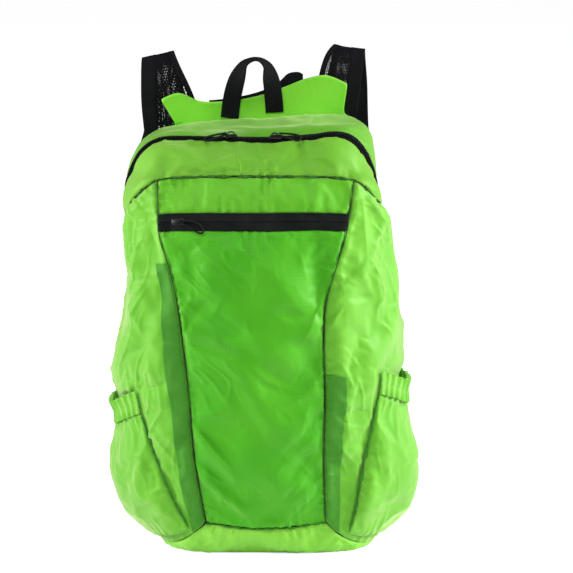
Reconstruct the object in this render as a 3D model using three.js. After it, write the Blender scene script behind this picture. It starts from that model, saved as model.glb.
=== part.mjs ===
// A packable daypack, standing full on its own base. It is a hollow shell of thin ripstop panels
// sewn edge to edge, with a long zip over the top, a zipped front pocket, two elastic side pockets,
// a grab handle and two mesh shoulder straps that loop over the yoke and hang down behind.
// Millimetres. +X is to the right seen from the front, +Y points to the wearer's back, +Z is up.
import * as THREE from "three";

// Driving sizes of the bag.
const BAG_HEIGHT = 441; // floor to the seam between the top and the back panel
const HALF_WIDTH = 150; // middle of the bag to the widest fabric at a side
const FRONT_REACH = 76; // middle plane forward to the two front seams
const BACK_REACH = 76; // middle plane back to the rim that the back panel closes
const YOKE_RISE = 45; // highest point of the yoke above the top seam

// Cloth, webbing and the gaps between sewn pieces.
const CLOTH = 1.6; // wall of a sewn panel
const WEBBING = 1.6; // thickness of black webbing
const MESH = 2.4; // thickness of the strap mesh
const SEAM_GAP = 0.4; // space between neighbouring panels
const REST_GAP = 0.35; // space under a piece that lies on another

// Fullness of the stuffed bag.
const PANEL_CROWN = 9; // swell of the front panel beyond its seams
const TOP_ARCH = 4; // rise of the middle of the top front seam
const TOP_SWELL = 5; // forward curve of the top front seam
const BASE_SAG = 4; // drop of the middle of the bottom front seam
const BASE_SWELL = 7; // forward curve of the bottom front seam
const BACK_CROWN = 7; // swell of the back panel
const SIDE_SWELL = 21; // outward pull of the side arcs
const TOP_PULL = 5; // upward pull of the top arcs
const SHOULDER_REACH = 25; // extra reach of each arc as it leaves a front seam
const BASE_SINK = 24; // pull of the base arcs towards the floor, which then flattens them
const ARC_LEAVE = 0.55; // share of the span that an arc leaves a front seam by
const ARC_ARRIVE = 0.5; // share of the depth that an arc arrives at the rim by
const FOLD_EDGE = 0.08; // share of a panel over which its folds die out at a seam

// Zips. The main zip runs over the top panel and the pocket zip across the front.
const MAIN_ZIP_HALF = 0.035; // half the tape, in shares of the way from front seam to rim
const POCKET_ZIP_DROP = 38; // down the seam to the upper edge of the pocket zip
const POCKET_ZIP_WIDTH = 16;
const TAPE_THICK = 1.2;
const TAPE_SUNK = 0.3; // zip tape below the outer face of the cloth
const COIL_WIDTH = 5.2;
const COIL_HEIGHT = 2;
const COIL_LIFT = 0.35; // foot of the teeth above the outer face of the cloth
const COIL_START = 0.012; // share of the zip before its first tooth

// Sliders and their cord loops.
const SLIDER_LENGTH = 13;
const SLIDER_WIDTH = 7.4;
const SLIDER_PLATE = 1.6;
const BRIDGE_HEIGHT = 4.2;
const BRIDGE_LENGTH = 8;
const BRIDGE_WALL = 1.1;
const CORD_DIAMETER = 2;
const CORD_STEPS = 16;
const LOOP_REACH = 24.4; // from a slider's bridge to the far end of its loop
const HANG_CURVE = 1.3; // how a loop bends to the side along its reach

// Elastic side pockets.
const POCKET_BACK_SHARE = 0.97; // share of the side's depth where a pocket ends
const POCKET_FOOT_ALONG = 0.985; // share of the side seam, from the top, at the pocket's foot
const HEM_HEIGHT = 24;
const HEM_RISE = 22; // how much higher the front end of the elastic is
const HEM_RUFFLE = 1.7;
const HEM_GATHERS = 7;
const CLOTH_LIFT = 0.9; // a sewn-on pocket lies this far off the panel

// Straps, handle and hardware.
const HANDLE_HALF = 9.5; // half the width of the handle webbing
const LOWER_WEB_HALF = 12.5;
const LOWER_WEB_STANDOFF = 2; // room for its tilt at the bottom corner
const BUCKLE_WIDTH = 36;
const BUCKLE_HEIGHT = 24;
const BUCKLE_THICK = 4;
const BUCKLE_BAR = 4;
const STRIP_THICK = 0.8; // green tape sewn beside the front seams
const STRIP_SHARES = [0.06, 0.86]; // its edges within the first step of the side

// How finely the surfaces are stepped.
const ACROSS_STEPS = 18;
const DOWN_STEPS = 16;
const CURVE_STEPS = 120;

// The two front seams, from the top corners to the bottom corners.
// up is a share of BAG_HEIGHT, left and right of HALF_WIDTH, out of FRONT_REACH.
const FRONT_SEAMS = [
  { up: 0.902, left: 0.68, right: 0.68, out: 0.62 },
  { up: 0.84, left: 0.673, right: 0.655, out: 0.77 },
  { up: 0.78, left: 0.667, right: 0.625, out: 0.87 },
  { up: 0.7, left: 0.595, right: 0.553, out: 0.95 },
  { up: 0.62, left: 0.545, right: 0.487, out: 1.0 },
  { up: 0.52, left: 0.505, right: 0.473, out: 1.02 },
  { up: 0.4, left: 0.465, right: 0.483, out: 1.02 },
  { up: 0.25, left: 0.43, right: 0.475, out: 0.97 },
  { up: 0.15, left: 0.385, right: 0.48, out: 0.9 },
  { up: 0.079, left: 0.35, right: 0.487, out: 0.82 },
];

// The rim that closes on the back panel, clockwise seen from the front, each stretch up to
// the next corner. across is a share of HALF_WIDTH, up of BAG_HEIGHT.
const RIM_TOP = [
  { across: -0.8, up: 0.762 },
  { across: -0.84, up: 0.825 },
  { across: -0.845, up: 0.885 },
  { across: -0.79, up: 0.936 },
  { across: -0.69, up: 0.966 },
  { across: -0.42, up: 0.983 },
  { across: 0, up: 0.997 },
  { across: 0.4, up: 1.01 },
  { across: 0.63, up: 1.006 },
  { across: 0.735, up: 0.98 },
  { across: 0.775, up: 0.93 },
  { across: 0.775, up: 0.86 },
];
const RIM_RIGHT = [
  { across: 0.76, up: 0.762 },
  { across: 0.825, up: 0.68 },
  { across: 0.92, up: 0.6 },
  { across: 0.96, up: 0.51 },
  { across: 0.967, up: 0.42 },
  { across: 0.94, up: 0.3 },
  { across: 0.92, up: 0.2 },
  { across: 0.91, up: 0.1 },
];
const RIM_BOTTOM = [
  { across: 0.84, up: 0.035 },
  { across: 0.73, up: 0.012 },
  { across: 0.4, up: 0.007 },
  { across: 0, up: 0.007 },
  { across: -0.36, up: 0.007 },
  { across: -0.56, up: 0.012 },
];
const RIM_LEFT = [
  { across: -0.665, up: 0.035 },
  { across: -0.75, up: 0.1 },
  { across: -0.83, up: 0.2 },
  { across: -0.885, up: 0.3 },
  { across: -0.965, up: 0.42 },
  { across: -0.905, up: 0.51 },
  { across: -0.81, up: 0.6 },
  { across: -0.77, up: 0.68 },
];

// The way the cloth leaves the front seams, in degrees turned from +X towards +Z, down the left
// seam and over the left halves of the other two. The right half mirrors it.
const LEAVING = {
  side: [
    { along: 0, turn: 214 },
    { along: 0.06, turn: 190 },
    { along: 0.2, turn: 180 },
    { along: 0.8, turn: 185 },
    { along: 1, turn: 225 },
  ],
  top: [
    { along: 0, turn: 214 },
    { along: 0.05, turn: 176 },
    { along: 0.25, turn: 125 },
    { along: 0.5, turn: 90 },
  ],
  bottom: [
    { along: 0, turn: 225 },
    { along: 0.25, turn: 252 },
    { along: 0.5, turn: 270 },
  ],
};

// The middle of the main zip from the left end to the right, as shares of the way over the top.
const MAIN_ZIP_COURSE = [
  { along: 0, depth: 0.84 },
  { along: 0.07, depth: 0.73 },
  { along: 0.16, depth: 0.61 },
  { along: 0.28, depth: 0.55 },
  { along: 0.42, depth: 0.51 },
  { along: 0.57, depth: 0.42 },
  { along: 0.72, depth: 0.44 },
  { along: 0.84, depth: 0.58 },
  { along: 0.93, depth: 0.72 },
  { along: 1, depth: 0.84 },
];

// The yoke above the top seam: its upper edge, with rise as a share of YOKE_RISE.
const YOKE_TOP = [
  { across: -0.673, rise: 0.42 },
  { across: -0.547, rise: 0.58 },
  { across: -0.39, rise: 0.38 },
  { across: -0.17, rise: 0.4 },
  { across: 0.04, rise: 0.53 },
  { across: 0.19, rise: 0.71 },
  { across: 0.36, rise: 0.93 },
  { across: 0.49, rise: 1 },
  { across: 0.644, rise: 0.8 },
];
const YOKE_FOOT_LEFT = -0.54; // where the yoke's sides meet the top seam, shares of HALF_WIDTH
const YOKE_FOOT_RIGHT = 0.59;

// The black binding that shows above the yoke's edge; height in shares of BINDING_PEAK.
const BINDING_PEAK = 12;
const BINDING_TUCK = 14; // reach of the binding below the yoke's edge
const YOKE_BINDING = [
  { across: -0.33, height: 0.1 },
  { across: -0.05, height: 0.24 },
  { across: 0.12, height: 0.42 },
  { across: 0.23, height: 1 },
  { across: 0.29, height: 0.8 },
  { across: 0.33, height: 0.4 },
];

// The main soft folds seen from the front, as ridges (rise over 0) and valleys, each a line
// from one place to another. across is a share of HALF_WIDTH, up of BAG_HEIGHT,
// spread and rise of HALF_WIDTH.
const FOLDS = [
  { across: -0.48, up: 0.7, toAcross: 0.02, toUp: 0.5, spread: 0.13, rise: 0.022 },
  { across: -0.42, up: 0.58, toAcross: 0.3, toUp: 0.46, spread: 0.1, rise: -0.022 },
  { across: 0.1, up: 0.76, toAcross: 0.36, toUp: 0.56, spread: 0.12, rise: 0.026 },
  { across: 0.42, up: 0.76, toAcross: 0.42, toUp: 0.6, spread: 0.09, rise: -0.03 },
  { across: -0.4, up: 0.3, toAcross: -0.15, toUp: 0.2, spread: 0.06, rise: 0.03 },
  { across: -0.36, up: 0.2, toAcross: -0.08, toUp: 0.12, spread: 0.06, rise: 0.026 },
  { across: -0.3, up: 0.9, toAcross: 0.4, toUp: 0.86, spread: 0.07, rise: 0.018 },
  { across: -0.8, up: 0.66, toAcross: -0.72, toUp: 0.42, spread: 0.1, rise: -0.035 },
  { across: -0.68, up: 0.56, toAcross: -0.6, toUp: 0.3, spread: 0.08, rise: 0.024 },
  { across: 0.72, up: 0.62, toAcross: 0.66, toUp: 0.36, spread: 0.09, rise: -0.03 },
  { across: 0.86, up: 0.66, toAcross: 0.82, toUp: 0.42, spread: 0.08, rise: 0.024 },
  { across: -0.8, up: 0.9, toAcross: -0.62, toUp: 0.8, spread: 0.09, rise: -0.02 },
  { across: -0.3, up: 0.975, toAcross: 0.3, toUp: 0.955, spread: 0.1, rise: -0.02 },
];

// Side pockets. hem is the height of the top of the elastic as a share of BAG_HEIGHT, front
// and foot are where the pocket's front edge starts and ends, as shares of the side's depth,
// and mouth and swell are how far the elastic and the belly stand off the bag.
const POCKETS = {
  left: { hem: 0.346, front: 0.36, foot: 0.13, mouth: 6, swell: 20 },
  right: { hem: 0.393, front: 0.38, foot: 0.19, mouth: 8, swell: 24 },
};

// Shoulder straps, from behind the yoke over the loop and down to the buckle. outer and inner are
// the strap's edges as shares of HALF_WIDTH, behind is millimetres behind the back panel, up a
// share of BAG_HEIGHT, and drop the slope down towards the outer edge.
const STRAPS = {
  left: [
    { outer: 0.79, inner: 0.36, behind: 0, up: 0.966, drop: 0 },
    { outer: 0.812, inner: 0.45, behind: 0.3, up: 1.05, drop: 0 },
    { outer: 0.812, inner: 0.53, behind: 4, up: 1.11, drop: 0.16 },
    { outer: 0.808, inner: 0.575, behind: 17, up: 1.143, drop: 0.24 },
    { outer: 0.805, inner: 0.56, behind: 31, up: 1.12, drop: 0.14 },
    { outer: 0.8, inner: 0.52, behind: 37, up: 1.06, drop: 0 },
    { outer: 0.795, inner: 0.46, behind: 36, up: 0.95, drop: 0 },
    { outer: 0.905, inner: 0.49, behind: 31, up: 0.82, drop: 0 },
    { outer: 0.9, inner: 0.48, behind: 26, up: 0.66, drop: 0 },
    { outer: 0.82, inner: 0.47, behind: 24, up: 0.5, drop: 0 },
    { outer: 0.73, inner: 0.5, behind: 22, up: 0.37, drop: 0 },
  ],
  right: [
    { outer: 0.69, inner: 0.33, behind: 0, up: 0.966, drop: 0 },
    { outer: 0.725, inner: 0.41, behind: 0.3, up: 1.05, drop: 0 },
    { outer: 0.755, inner: 0.475, behind: 4, up: 1.13, drop: 0.1 },
    { outer: 0.768, inner: 0.55, behind: 17, up: 1.16, drop: 0.14 },
    { outer: 0.77, inner: 0.54, behind: 31, up: 1.14, drop: 0.08 },
    { outer: 0.785, inner: 0.5, behind: 37, up: 1.07, drop: 0 },
    { outer: 0.797, inner: 0.46, behind: 36, up: 0.95, drop: 0 },
    { outer: 0.84, inner: 0.45, behind: 31, up: 0.82, drop: 0 },
    { outer: 0.882, inner: 0.46, behind: 26, up: 0.7, drop: 0 },
    { outer: 0.82, inner: 0.47, behind: 24, up: 0.5, drop: 0 },
    { outer: 0.73, inner: 0.5, behind: 22, up: 0.37, drop: 0 },
  ],
};
// Lanes across a strap, in millimetres in from its outer or its inner edge.
const OUTER_LANE = 15;
const INNER_LANE = 6;
const MESH_START = INNER_LANE + REST_GAP;
const STRAP_STEPS = 28;

// The grab handle, a webbing loop that turns edge on at its crown.
// across and lift are millimetres from its middle and above the top seam, turn in degrees.
const HANDLE_ACROSS = -4;
const HANDLE_PATH = [
  { across: -24, forward: 0, lift: -1, turn: 0 },
  { across: -21, forward: 2, lift: 22, turn: 5 },
  { across: -15, forward: 7, lift: 44, turn: 35 },
  { across: -6, forward: 10, lift: 60, turn: 75 },
  { across: 5, forward: 11, lift: 64, turn: 90 },
  { across: 14, forward: 10, lift: 58, turn: 110 },
  { across: 19.5, forward: 7.5, lift: 42, turn: 150 },
  { across: 22.5, forward: 2.4, lift: 20, turn: 175 },
  { across: 23.5, forward: 0, lift: 5, turn: 180 },
];

// Places of the sliders along their zips, the way their cord loops point, and how far to the side
// each loop hangs at its end.
const SLIDERS = {
  main_left: { along: 0.42, points: -1, hangs: -8 },
  main_right: { along: 0.56, points: 1, hangs: 8 },
  pocket: { along: 0.105, points: 1, hangs: 10 },
};
// Cord loops, chosen by hand: reach along the pull and side across it, from the bridge's end.
const LOOP_ROUTE = [
  { reach: 0, side: -2.1, lift: 0 },
  { reach: 3, side: -2.2, lift: 0 },
  { reach: 6, side: -2.7, lift: -0.1 },
  { reach: 10, side: -3.6, lift: -0.3 },
  { reach: 15, side: -4.5, lift: -0.5 },
  { reach: 19.5, side: -4.7, lift: -0.6 },
  { reach: 23, side: -3.4, lift: -0.6 },
  { reach: LOOP_REACH, side: 0, lift: -0.6 },
  { reach: 23, side: 3.4, lift: -0.6 },
  { reach: 19.5, side: 4.7, lift: -0.6 },
  { reach: 15, side: 4.5, lift: -0.5 },
  { reach: 10, side: 3.6, lift: -0.3 },
  { reach: 6, side: 2.7, lift: -0.1 },
  { reach: 3, side: 2.2, lift: 0 },
  { reach: 0, side: 2.1, lift: 0 },
];

const BACKWARD = new THREE.Vector3(0, 1, 0);
const { lerp, smoothstep, degToRad } = THREE.MathUtils;

// Materials.
const GREEN = new THREE.MeshStandardMaterial({ color: 0x5fd62f, roughness: 0.55 });
const TAPE_GREEN = new THREE.MeshStandardMaterial({ color: 0x4a9e2c, roughness: 0.8 });
const BLACK_WEBBING = new THREE.MeshStandardMaterial({ color: 0x16171a, roughness: 0.85 });
const BLACK_MESH = new THREE.MeshStandardMaterial({ color: 0x1b1c1f, roughness: 0.9 });
const ZIP_TAPE = new THREE.MeshStandardMaterial({ color: 0x18191c, roughness: 0.7 });
const BLACK_PLASTIC = new THREE.MeshStandardMaterial({ color: 0x1c1d20, roughness: 0.4 });
const SLIDER_METAL = new THREE.MeshStandardMaterial({ color: 0x3a3c42, roughness: 0.35, metalness: 0.8 });

// Evenly spaced shares from one value to another.
function stations(from, to, steps) {
  return Array.from({ length: steps + 1 }, (_, i) => lerp(from, to, i / steps));
}

// A reader of a table: one column against another, in straight steps.
function column(rows, name, by) {
  return (place) => {
    const next = rows.findIndex((row) => row[by] >= place);
    if (next <= 0) return rows.at(next)[name];
    const [first, last] = [rows[next - 1], rows[next]];
    return lerp(first[name], last[name], (place - first[by]) / (last[by] - first[by]));
  };
}

// Turns an even share of a curve's length between two parameters into the curve's parameter.
function byLength(curve, from, to) {
  const lengths = [0];
  let last = curve.getPoint(from);
  for (let i = 1; i <= CURVE_STEPS; i += 1) {
    const next = curve.getPoint(lerp(from, to, i / CURVE_STEPS));
    lengths.push(lengths[i - 1] + next.distanceTo(last));
    last = next;
  }
  const total = lengths[CURVE_STEPS];
  const parameter = (share) => {
    const wanted = share * total;
    let i = 1;
    while (i < CURVE_STEPS && lengths[i] < wanted) i += 1;
    const part = (wanted - lengths[i - 1]) / (lengths[i] - lengths[i - 1]);
    return lerp(from, to, (i - 1 + part) / CURVE_STEPS);
  };
  return { parameter, total };
}

// Edges of the front panel.
function seamCurve(side) {
  const sign = side === "left" ? -1 : 1;
  const points = FRONT_SEAMS.map(
    (row) => new THREE.Vector3(sign * row[side] * HALF_WIDTH, -row.out * FRONT_REACH, row.up * BAG_HEIGHT),
  );
  return new THREE.CatmullRomCurve3(points, false, "centripetal");
}
const SEAM = { left: seamCurve("left"), right: seamCurve("right") };
const SEAM_LENGTH = SEAM.left.getLength();

// The direction in which the cloth leaves a front seam, square to the depth of the bag.
function leaving(side, along) {
  const far = side === "right" || (side !== "left" && along > 0.5);
  const rows = LEAVING[side] ?? LEAVING.side;
  const turn = column(rows, "turn", "along")(far && side !== "right" ? 1 - along : along);
  const angle = degToRad(far ? 180 - turn : turn);
  return new THREE.Vector3(Math.cos(angle), 0, Math.sin(angle));
}

function frontEdge(side, along) {
  const outward = leaving(side, along);
  if (side === "left" || side === "right") return { point: SEAM[side].getPointAt(along), outward };
  const end = side === "top" ? 0 : 1;
  const point = SEAM.left.getPointAt(end).lerp(SEAM.right.getPointAt(end), along);
  const middle = 2 * along - 1;
  if (side === "top") {
    point.z += TOP_ARCH * (1 - middle ** 4);
    point.y -= TOP_SWELL * (1 - middle ** 2);
  } else {
    point.z -= BASE_SAG * (1 - middle ** 2);
    point.y -= BASE_SWELL * (1 - middle ** 2);
  }
  return { point, outward };
}

// The rim as one closed curve, with its four stretches.
const RIM_ROWS = [...RIM_TOP, ...RIM_RIGHT, ...RIM_BOTTOM, ...RIM_LEFT];
const RIM = new THREE.CatmullRomCurve3(
  RIM_ROWS.map((row) => new THREE.Vector3(row.across * HALF_WIDTH, BACK_REACH, row.up * BAG_HEIGHT)),
  true,
  "centripetal",
);
const TOP_RIGHT = RIM_TOP.length / RIM_ROWS.length;
const BOTTOM_RIGHT = (RIM_TOP.length + RIM_RIGHT.length) / RIM_ROWS.length;
const BOTTOM_LEFT = 1 - RIM_LEFT.length / RIM_ROWS.length;
const RIM_STRETCH = {
  top: byLength(RIM, 0, TOP_RIGHT),
  right: byLength(RIM, TOP_RIGHT, BOTTOM_RIGHT),
  bottom: byLength(RIM, BOTTOM_LEFT, BOTTOM_RIGHT),
  left: byLength(RIM, 1, BOTTOM_LEFT),
};

function rimEdge(side, along) {
  const t = RIM_STRETCH[side].parameter(along);
  const run = RIM.getTangent(t);
  return { point: RIM.getPoint(t), outward: new THREE.Vector3(-run.z, 0, run.x).normalize() };
}

// Height of the folds where the front view meets a place.
function foldHeight(x, z) {
  let height = 0;
  for (const fold of FOLDS) {
    const from = new THREE.Vector2(fold.across * HALF_WIDTH, fold.up * BAG_HEIGHT);
    const to = new THREE.Vector2(fold.toAcross * HALF_WIDTH, fold.toUp * BAG_HEIGHT);
    const run = to.clone().sub(from);
    const place = new THREE.Vector2(x, z).sub(from);
    const share = THREE.MathUtils.clamp(place.dot(run) / run.lengthSq(), 0, 1);
    const away = place.sub(run.multiplyScalar(share)).length() / (fold.spread * HALF_WIDTH);
    height += fold.rise * HALF_WIDTH * Math.exp(-away * away);
  }
  return height;
}

// Fades to nothing at both ends of a share.
function faded(share, edge) {
  return smoothstep(share, 0, edge) * smoothstep(1 - share, 0, edge);
}

// A point of the shell's sides, from a front seam (depth 0) to the rim (depth 1).
// inset moves it inwards through the cloth.
function sidePoint(side, along, depth, inset = 0) {
  const front = frontEdge(side, along);
  const rim = rimEdge(side, along);
  const span = Math.hypot(rim.point.x - front.point.x, rim.point.z - front.point.z);
  const down = Math.max(-rim.outward.z, 0);
  const leave = ARC_LEAVE * (span + SHOULDER_REACH) + BASE_SINK * down;
  const sideways = SIDE_SWELL * Math.abs(rim.outward.x);
  const pull = sideways + TOP_PULL * Math.max(rim.outward.z, 0) + 0.4 * BASE_SINK * down;
  const arrive = ARC_ARRIVE * (BACK_REACH - front.point.y);
  const moved = ({ point, outward }, out, back) =>
    point.clone().addScaledVector(outward, out).addScaledVector(BACKWARD, back);
  const arc = new THREE.CubicBezierCurve3(
    moved(front, -inset, inset),
    moved(front, leave - 0.6 * inset, inset),
    moved(rim, pull - inset, inset / 2 - arrive),
    moved(rim, -inset, 0),
  );
  const point = arc.getPoint(depth);
  const turn = (Math.PI / 2) * depth;
  const kept = faded(depth, 3 * FOLD_EDGE) * faded(along, FOLD_EDGE) * (1 - down);
  const lift = foldHeight(point.x, point.z) * kept;
  point.addScaledVector(rim.outward, lift * Math.sin(turn)).addScaledVector(BACKWARD, -lift * Math.cos(turn));
  point.z = Math.max(point.z, inset);
  return point;
}

// A point of the front panel, across from the left seam and down from the top seam.
function frontPoint(across, down, inset = 0) {
  const edge = (side, along) => {
    const { point, outward } = frontEdge(side, along);
    return point.addScaledVector(outward, -inset).addScaledVector(BACKWARD, inset);
  };
  const between = (a, b, share) => a.clone().lerp(b, share);
  const rows = between(edge("top", across), edge("bottom", across), down);
  const columns = between(edge("left", down), edge("right", down), across);
  const corners = between(
    between(edge("top", 0), edge("top", 1), across),
    between(edge("bottom", 0), edge("bottom", 1), across),
    down,
  );
  const point = rows.add(columns).sub(corners);
  const crown = Math.sqrt(Math.sin(Math.PI * across) * Math.sin(Math.PI * down));
  const fold = foldHeight(point.x, point.z) * faded(across, FOLD_EDGE) * faded(down, FOLD_EDGE);
  point.y -= PANEL_CROWN * crown + fold;
  return point;
}

// Reverses every triangle of a closed geometry whose faces point inwards.
function facingOut(geometry) {
  const p = geometry.getAttribute("position");
  const index = geometry.getIndex();
  const [a, b, c] = [0, 1, 2].map(() => new THREE.Vector3());
  let volume = 0;
  for (let i = 0; i < index.count; i += 3) {
    a.fromBufferAttribute(p, index.getX(i));
    b.fromBufferAttribute(p, index.getX(i + 1));
    c.fromBufferAttribute(p, index.getX(i + 2));
    volume += a.dot(b.cross(c));
  }
  if (volume < 0) geometry.setIndex(Array.from(index.array).reverse());
  geometry.computeVertexNormals();
  return geometry;
}

// A closed wall between two grids of points that match row by row. Each cell is cut along its
// shorter diagonal.
function wallBetween(outer, inner) {
  const rows = outer.length;
  const columns = outer[0].length;
  const points = [outer, inner].flat(2);
  const at = (layer, i, j) => (layer * rows + i) * columns + j;
  const index = [];
  const quad = (a, b, c, d) => {
    const straight = points[a].distanceTo(points[c]) < points[b].distanceTo(points[d]);
    index.push(...(straight ? [a, b, c, a, c, d] : [b, c, d, b, d, a]));
  };
  for (let i = 0; i < rows - 1; i += 1) {
    for (let j = 0; j < columns - 1; j += 1) {
      quad(at(0, i, j), at(0, i + 1, j), at(0, i + 1, j + 1), at(0, i, j + 1));
      quad(at(1, i, j), at(1, i, j + 1), at(1, i + 1, j + 1), at(1, i + 1, j));
    }
  }
  for (let j = 0; j < columns - 1; j += 1) {
    quad(at(0, 0, j), at(0, 0, j + 1), at(1, 0, j + 1), at(1, 0, j));
    quad(at(0, rows - 1, j + 1), at(0, rows - 1, j), at(1, rows - 1, j), at(1, rows - 1, j + 1));
  }
  for (let i = 0; i < rows - 1; i += 1) {
    quad(at(0, i + 1, 0), at(0, i, 0), at(1, i, 0), at(1, i + 1, 0));
    quad(at(0, i, columns - 1), at(0, i + 1, columns - 1), at(1, i + 1, columns - 1), at(1, i, columns - 1));
  }
  const geometry = new THREE.BufferGeometry().setFromPoints(points);
  geometry.setIndex(index);
  return facingOut(geometry);
}

// Draws the border of a grid in by half a seam gap, so that neighbours stay apart.
function trimmed(grid) {
  const rows = grid.length;
  const columns = grid[0].length;
  const step = (from, to) => to.clone().sub(from).setLength(SEAM_GAP / 2);
  return grid.map((row, i) =>
    row.map((point, j) => {
      const moved = point.clone();
      if (i === 0) moved.add(step(point, grid[1][j]));
      if (i === rows - 1) moved.add(step(point, grid[rows - 2][j]));
      if (j === 0) moved.add(step(point, row[1]));
      if (j === columns - 1) moved.add(step(point, row[columns - 2]));
      return moved;
    }),
  );
}

// A panel of cloth from a function of two shares and the inset.
function panel(surface, firsts, seconds, sunk = 0, thick = CLOTH) {
  const grid = (inset) => trimmed(firsts.map((a) => seconds.map((b) => surface(a, b, inset))));
  return wallBetween(grid(sunk), grid(sunk + thick));
}

// The outward direction of a surface of two shares.
function outwardOf(surface, a, b, away) {
  const step = 0.004;
  const first = surface(Math.min(a + step, 1), b).sub(surface(Math.max(a - step, 0), b));
  const second = surface(a, Math.min(b + step, 1)).sub(surface(a, Math.max(b - step, 0)));
  const normal = first.cross(second).normalize();
  return normal.dot(away) < 0 ? normal.negate() : normal;
}

// Steps shared by the panels that meet: down the side seams, across, and from front to rim.
const POCKET_ZIP_FROM = POCKET_ZIP_DROP / SEAM_LENGTH;
const POCKET_ZIP_TO = (POCKET_ZIP_DROP + POCKET_ZIP_WIDTH) / SEAM_LENGTH;
const zipCoursePoints = MAIN_ZIP_COURSE.map((row) => new THREE.Vector2(row.along, row.depth));
const zipCourse = new THREE.SplineCurve(zipCoursePoints);
const zipCourseRows = zipCourse.getPoints(CURVE_STEPS).map(({ x, y }) => ({ along: x, depth: y }));
const zipDepth = column(zipCourseRows, "depth", "along");
const ABOVE_POCKET_ZIP = stations(0, POCKET_ZIP_FROM, 2);
const BELOW_POCKET_ZIP = stations(POCKET_ZIP_TO, 1, DOWN_STEPS);
const DOWN = [...ABOVE_POCKET_ZIP, ...BELOW_POCKET_ZIP];
const ACROSS = stations(0, 1, ACROSS_STEPS);
const BEFORE_ZIP = stations(0, 1, 6);
const BEHIND_ZIP = stations(0, 1, 4);
const beforeZip = (along, share) => share * (zipDepth(along) - MAIN_ZIP_HALF);
const behindZip = (along, share) => lerp(zipDepth(along) + MAIN_ZIP_HALF, 1, share);
const DEPTHS = [
  ...BEFORE_ZIP.map((share) => beforeZip(0, share)),
  ...BEHIND_ZIP.map((share) => behindZip(0, share)),
];

const bag = new THREE.Group();

function add(name, geometry, material) {
  const mesh = new THREE.Mesh(geometry, material);
  mesh.name = name;
  bag.add(mesh);
}

// The sewn shell: front panel in two, two sides, top in two, and the base.
function addShell() {
  const onSide = (side) => (along, depth, inset) => sidePoint(side, along, depth, inset);
  const onFront = (down, across, inset) => frontPoint(across, down, inset);
  add("front_panel_upper", panel(onFront, ABOVE_POCKET_ZIP, ACROSS), GREEN);
  add("front_panel_lower", panel(onFront, BELOW_POCKET_ZIP, ACROSS), GREEN);
  add("side_panel_left", panel(onSide("left"), DOWN, DEPTHS), GREEN);
  add("side_panel_right", panel(onSide("right"), DOWN, DEPTHS), GREEN);
  const before = (along, share, inset) => sidePoint("top", along, beforeZip(along, share), inset);
  const behind = (along, share, inset) => sidePoint("top", along, behindZip(along, share), inset);
  add("top_panel_front", panel(before, ACROSS, BEFORE_ZIP), GREEN);
  add("top_panel_rear", panel(behind, ACROSS, BEHIND_ZIP), GREEN);
  add("base_panel", panel(onSide("bottom"), ACROSS, DEPTHS), GREEN);
}

// The back panel lies against the rim and rises above it as the yoke.
const BACK_FACE = BACK_REACH + SEAM_GAP / 2;

function yokeTopCurve() {
  return new THREE.CatmullRomCurve3(
    YOKE_TOP.map(
      (row) => new THREE.Vector3(row.across * HALF_WIDTH, BACK_FACE, BAG_HEIGHT + row.rise * YOKE_RISE),
    ),
    false,
    "centripetal",
  );
}

// One side of the back panel, from the yoke's corner down to the bottom corner.
function backPanelSide(side) {
  const foot = side === "left" ? YOKE_FOOT_LEFT : YOKE_FOOT_RIGHT;
  const corner = yokeTopCurve().getPoint(side === "left" ? 0 : 1);
  const topSteps = stations(0, 0.5, 40).map((share) => (side === "left" ? share : 1 - share));
  const overTop = topSteps.map((share) => rimEdge("top", share).point);
  const kept = overTop.filter((point) => Math.abs(point.x) >= Math.abs(foot * HALF_WIDTH)).reverse();
  const down = stations(0, 1, 30).slice(1).map((share) => rimEdge(side, share).point);
  const path = new THREE.CurvePath();
  const points = [corner, ...kept, ...down].map((point) => point.setY(BACK_FACE));
  for (let i = 1; i < points.length; i += 1) path.add(new THREE.LineCurve3(points[i - 1], points[i]));
  return path;
}

const BACK_EDGE = { left: backPanelSide("left"), right: backPanelSide("right"), top: yokeTopCurve() };

function backPoint(down, across, inset = 0) {
  const top = BACK_EDGE.top.getPointAt(across);
  const bottom = rimEdge("bottom", across).point.setY(BACK_FACE);
  const left = BACK_EDGE.left.getPointAt(down);
  const right = BACK_EDGE.right.getPointAt(down);
  const corners = BACK_EDGE.left.getPointAt(0).lerp(BACK_EDGE.right.getPointAt(0), across);
  corners.lerp(BACK_EDGE.left.getPointAt(1).lerp(BACK_EDGE.right.getPointAt(1), across), down);
  const point = top.lerp(bottom, down).add(left.lerp(right, across)).sub(corners);
  const height = THREE.MathUtils.clamp(1 - point.z / (0.9 * BAG_HEIGHT), 0, 1);
  const crown = Math.sin(Math.PI * across) * Math.sin(Math.PI * height);
  point.y = BACK_FACE + inset + BACK_CROWN * crown;
  return point;
}

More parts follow.
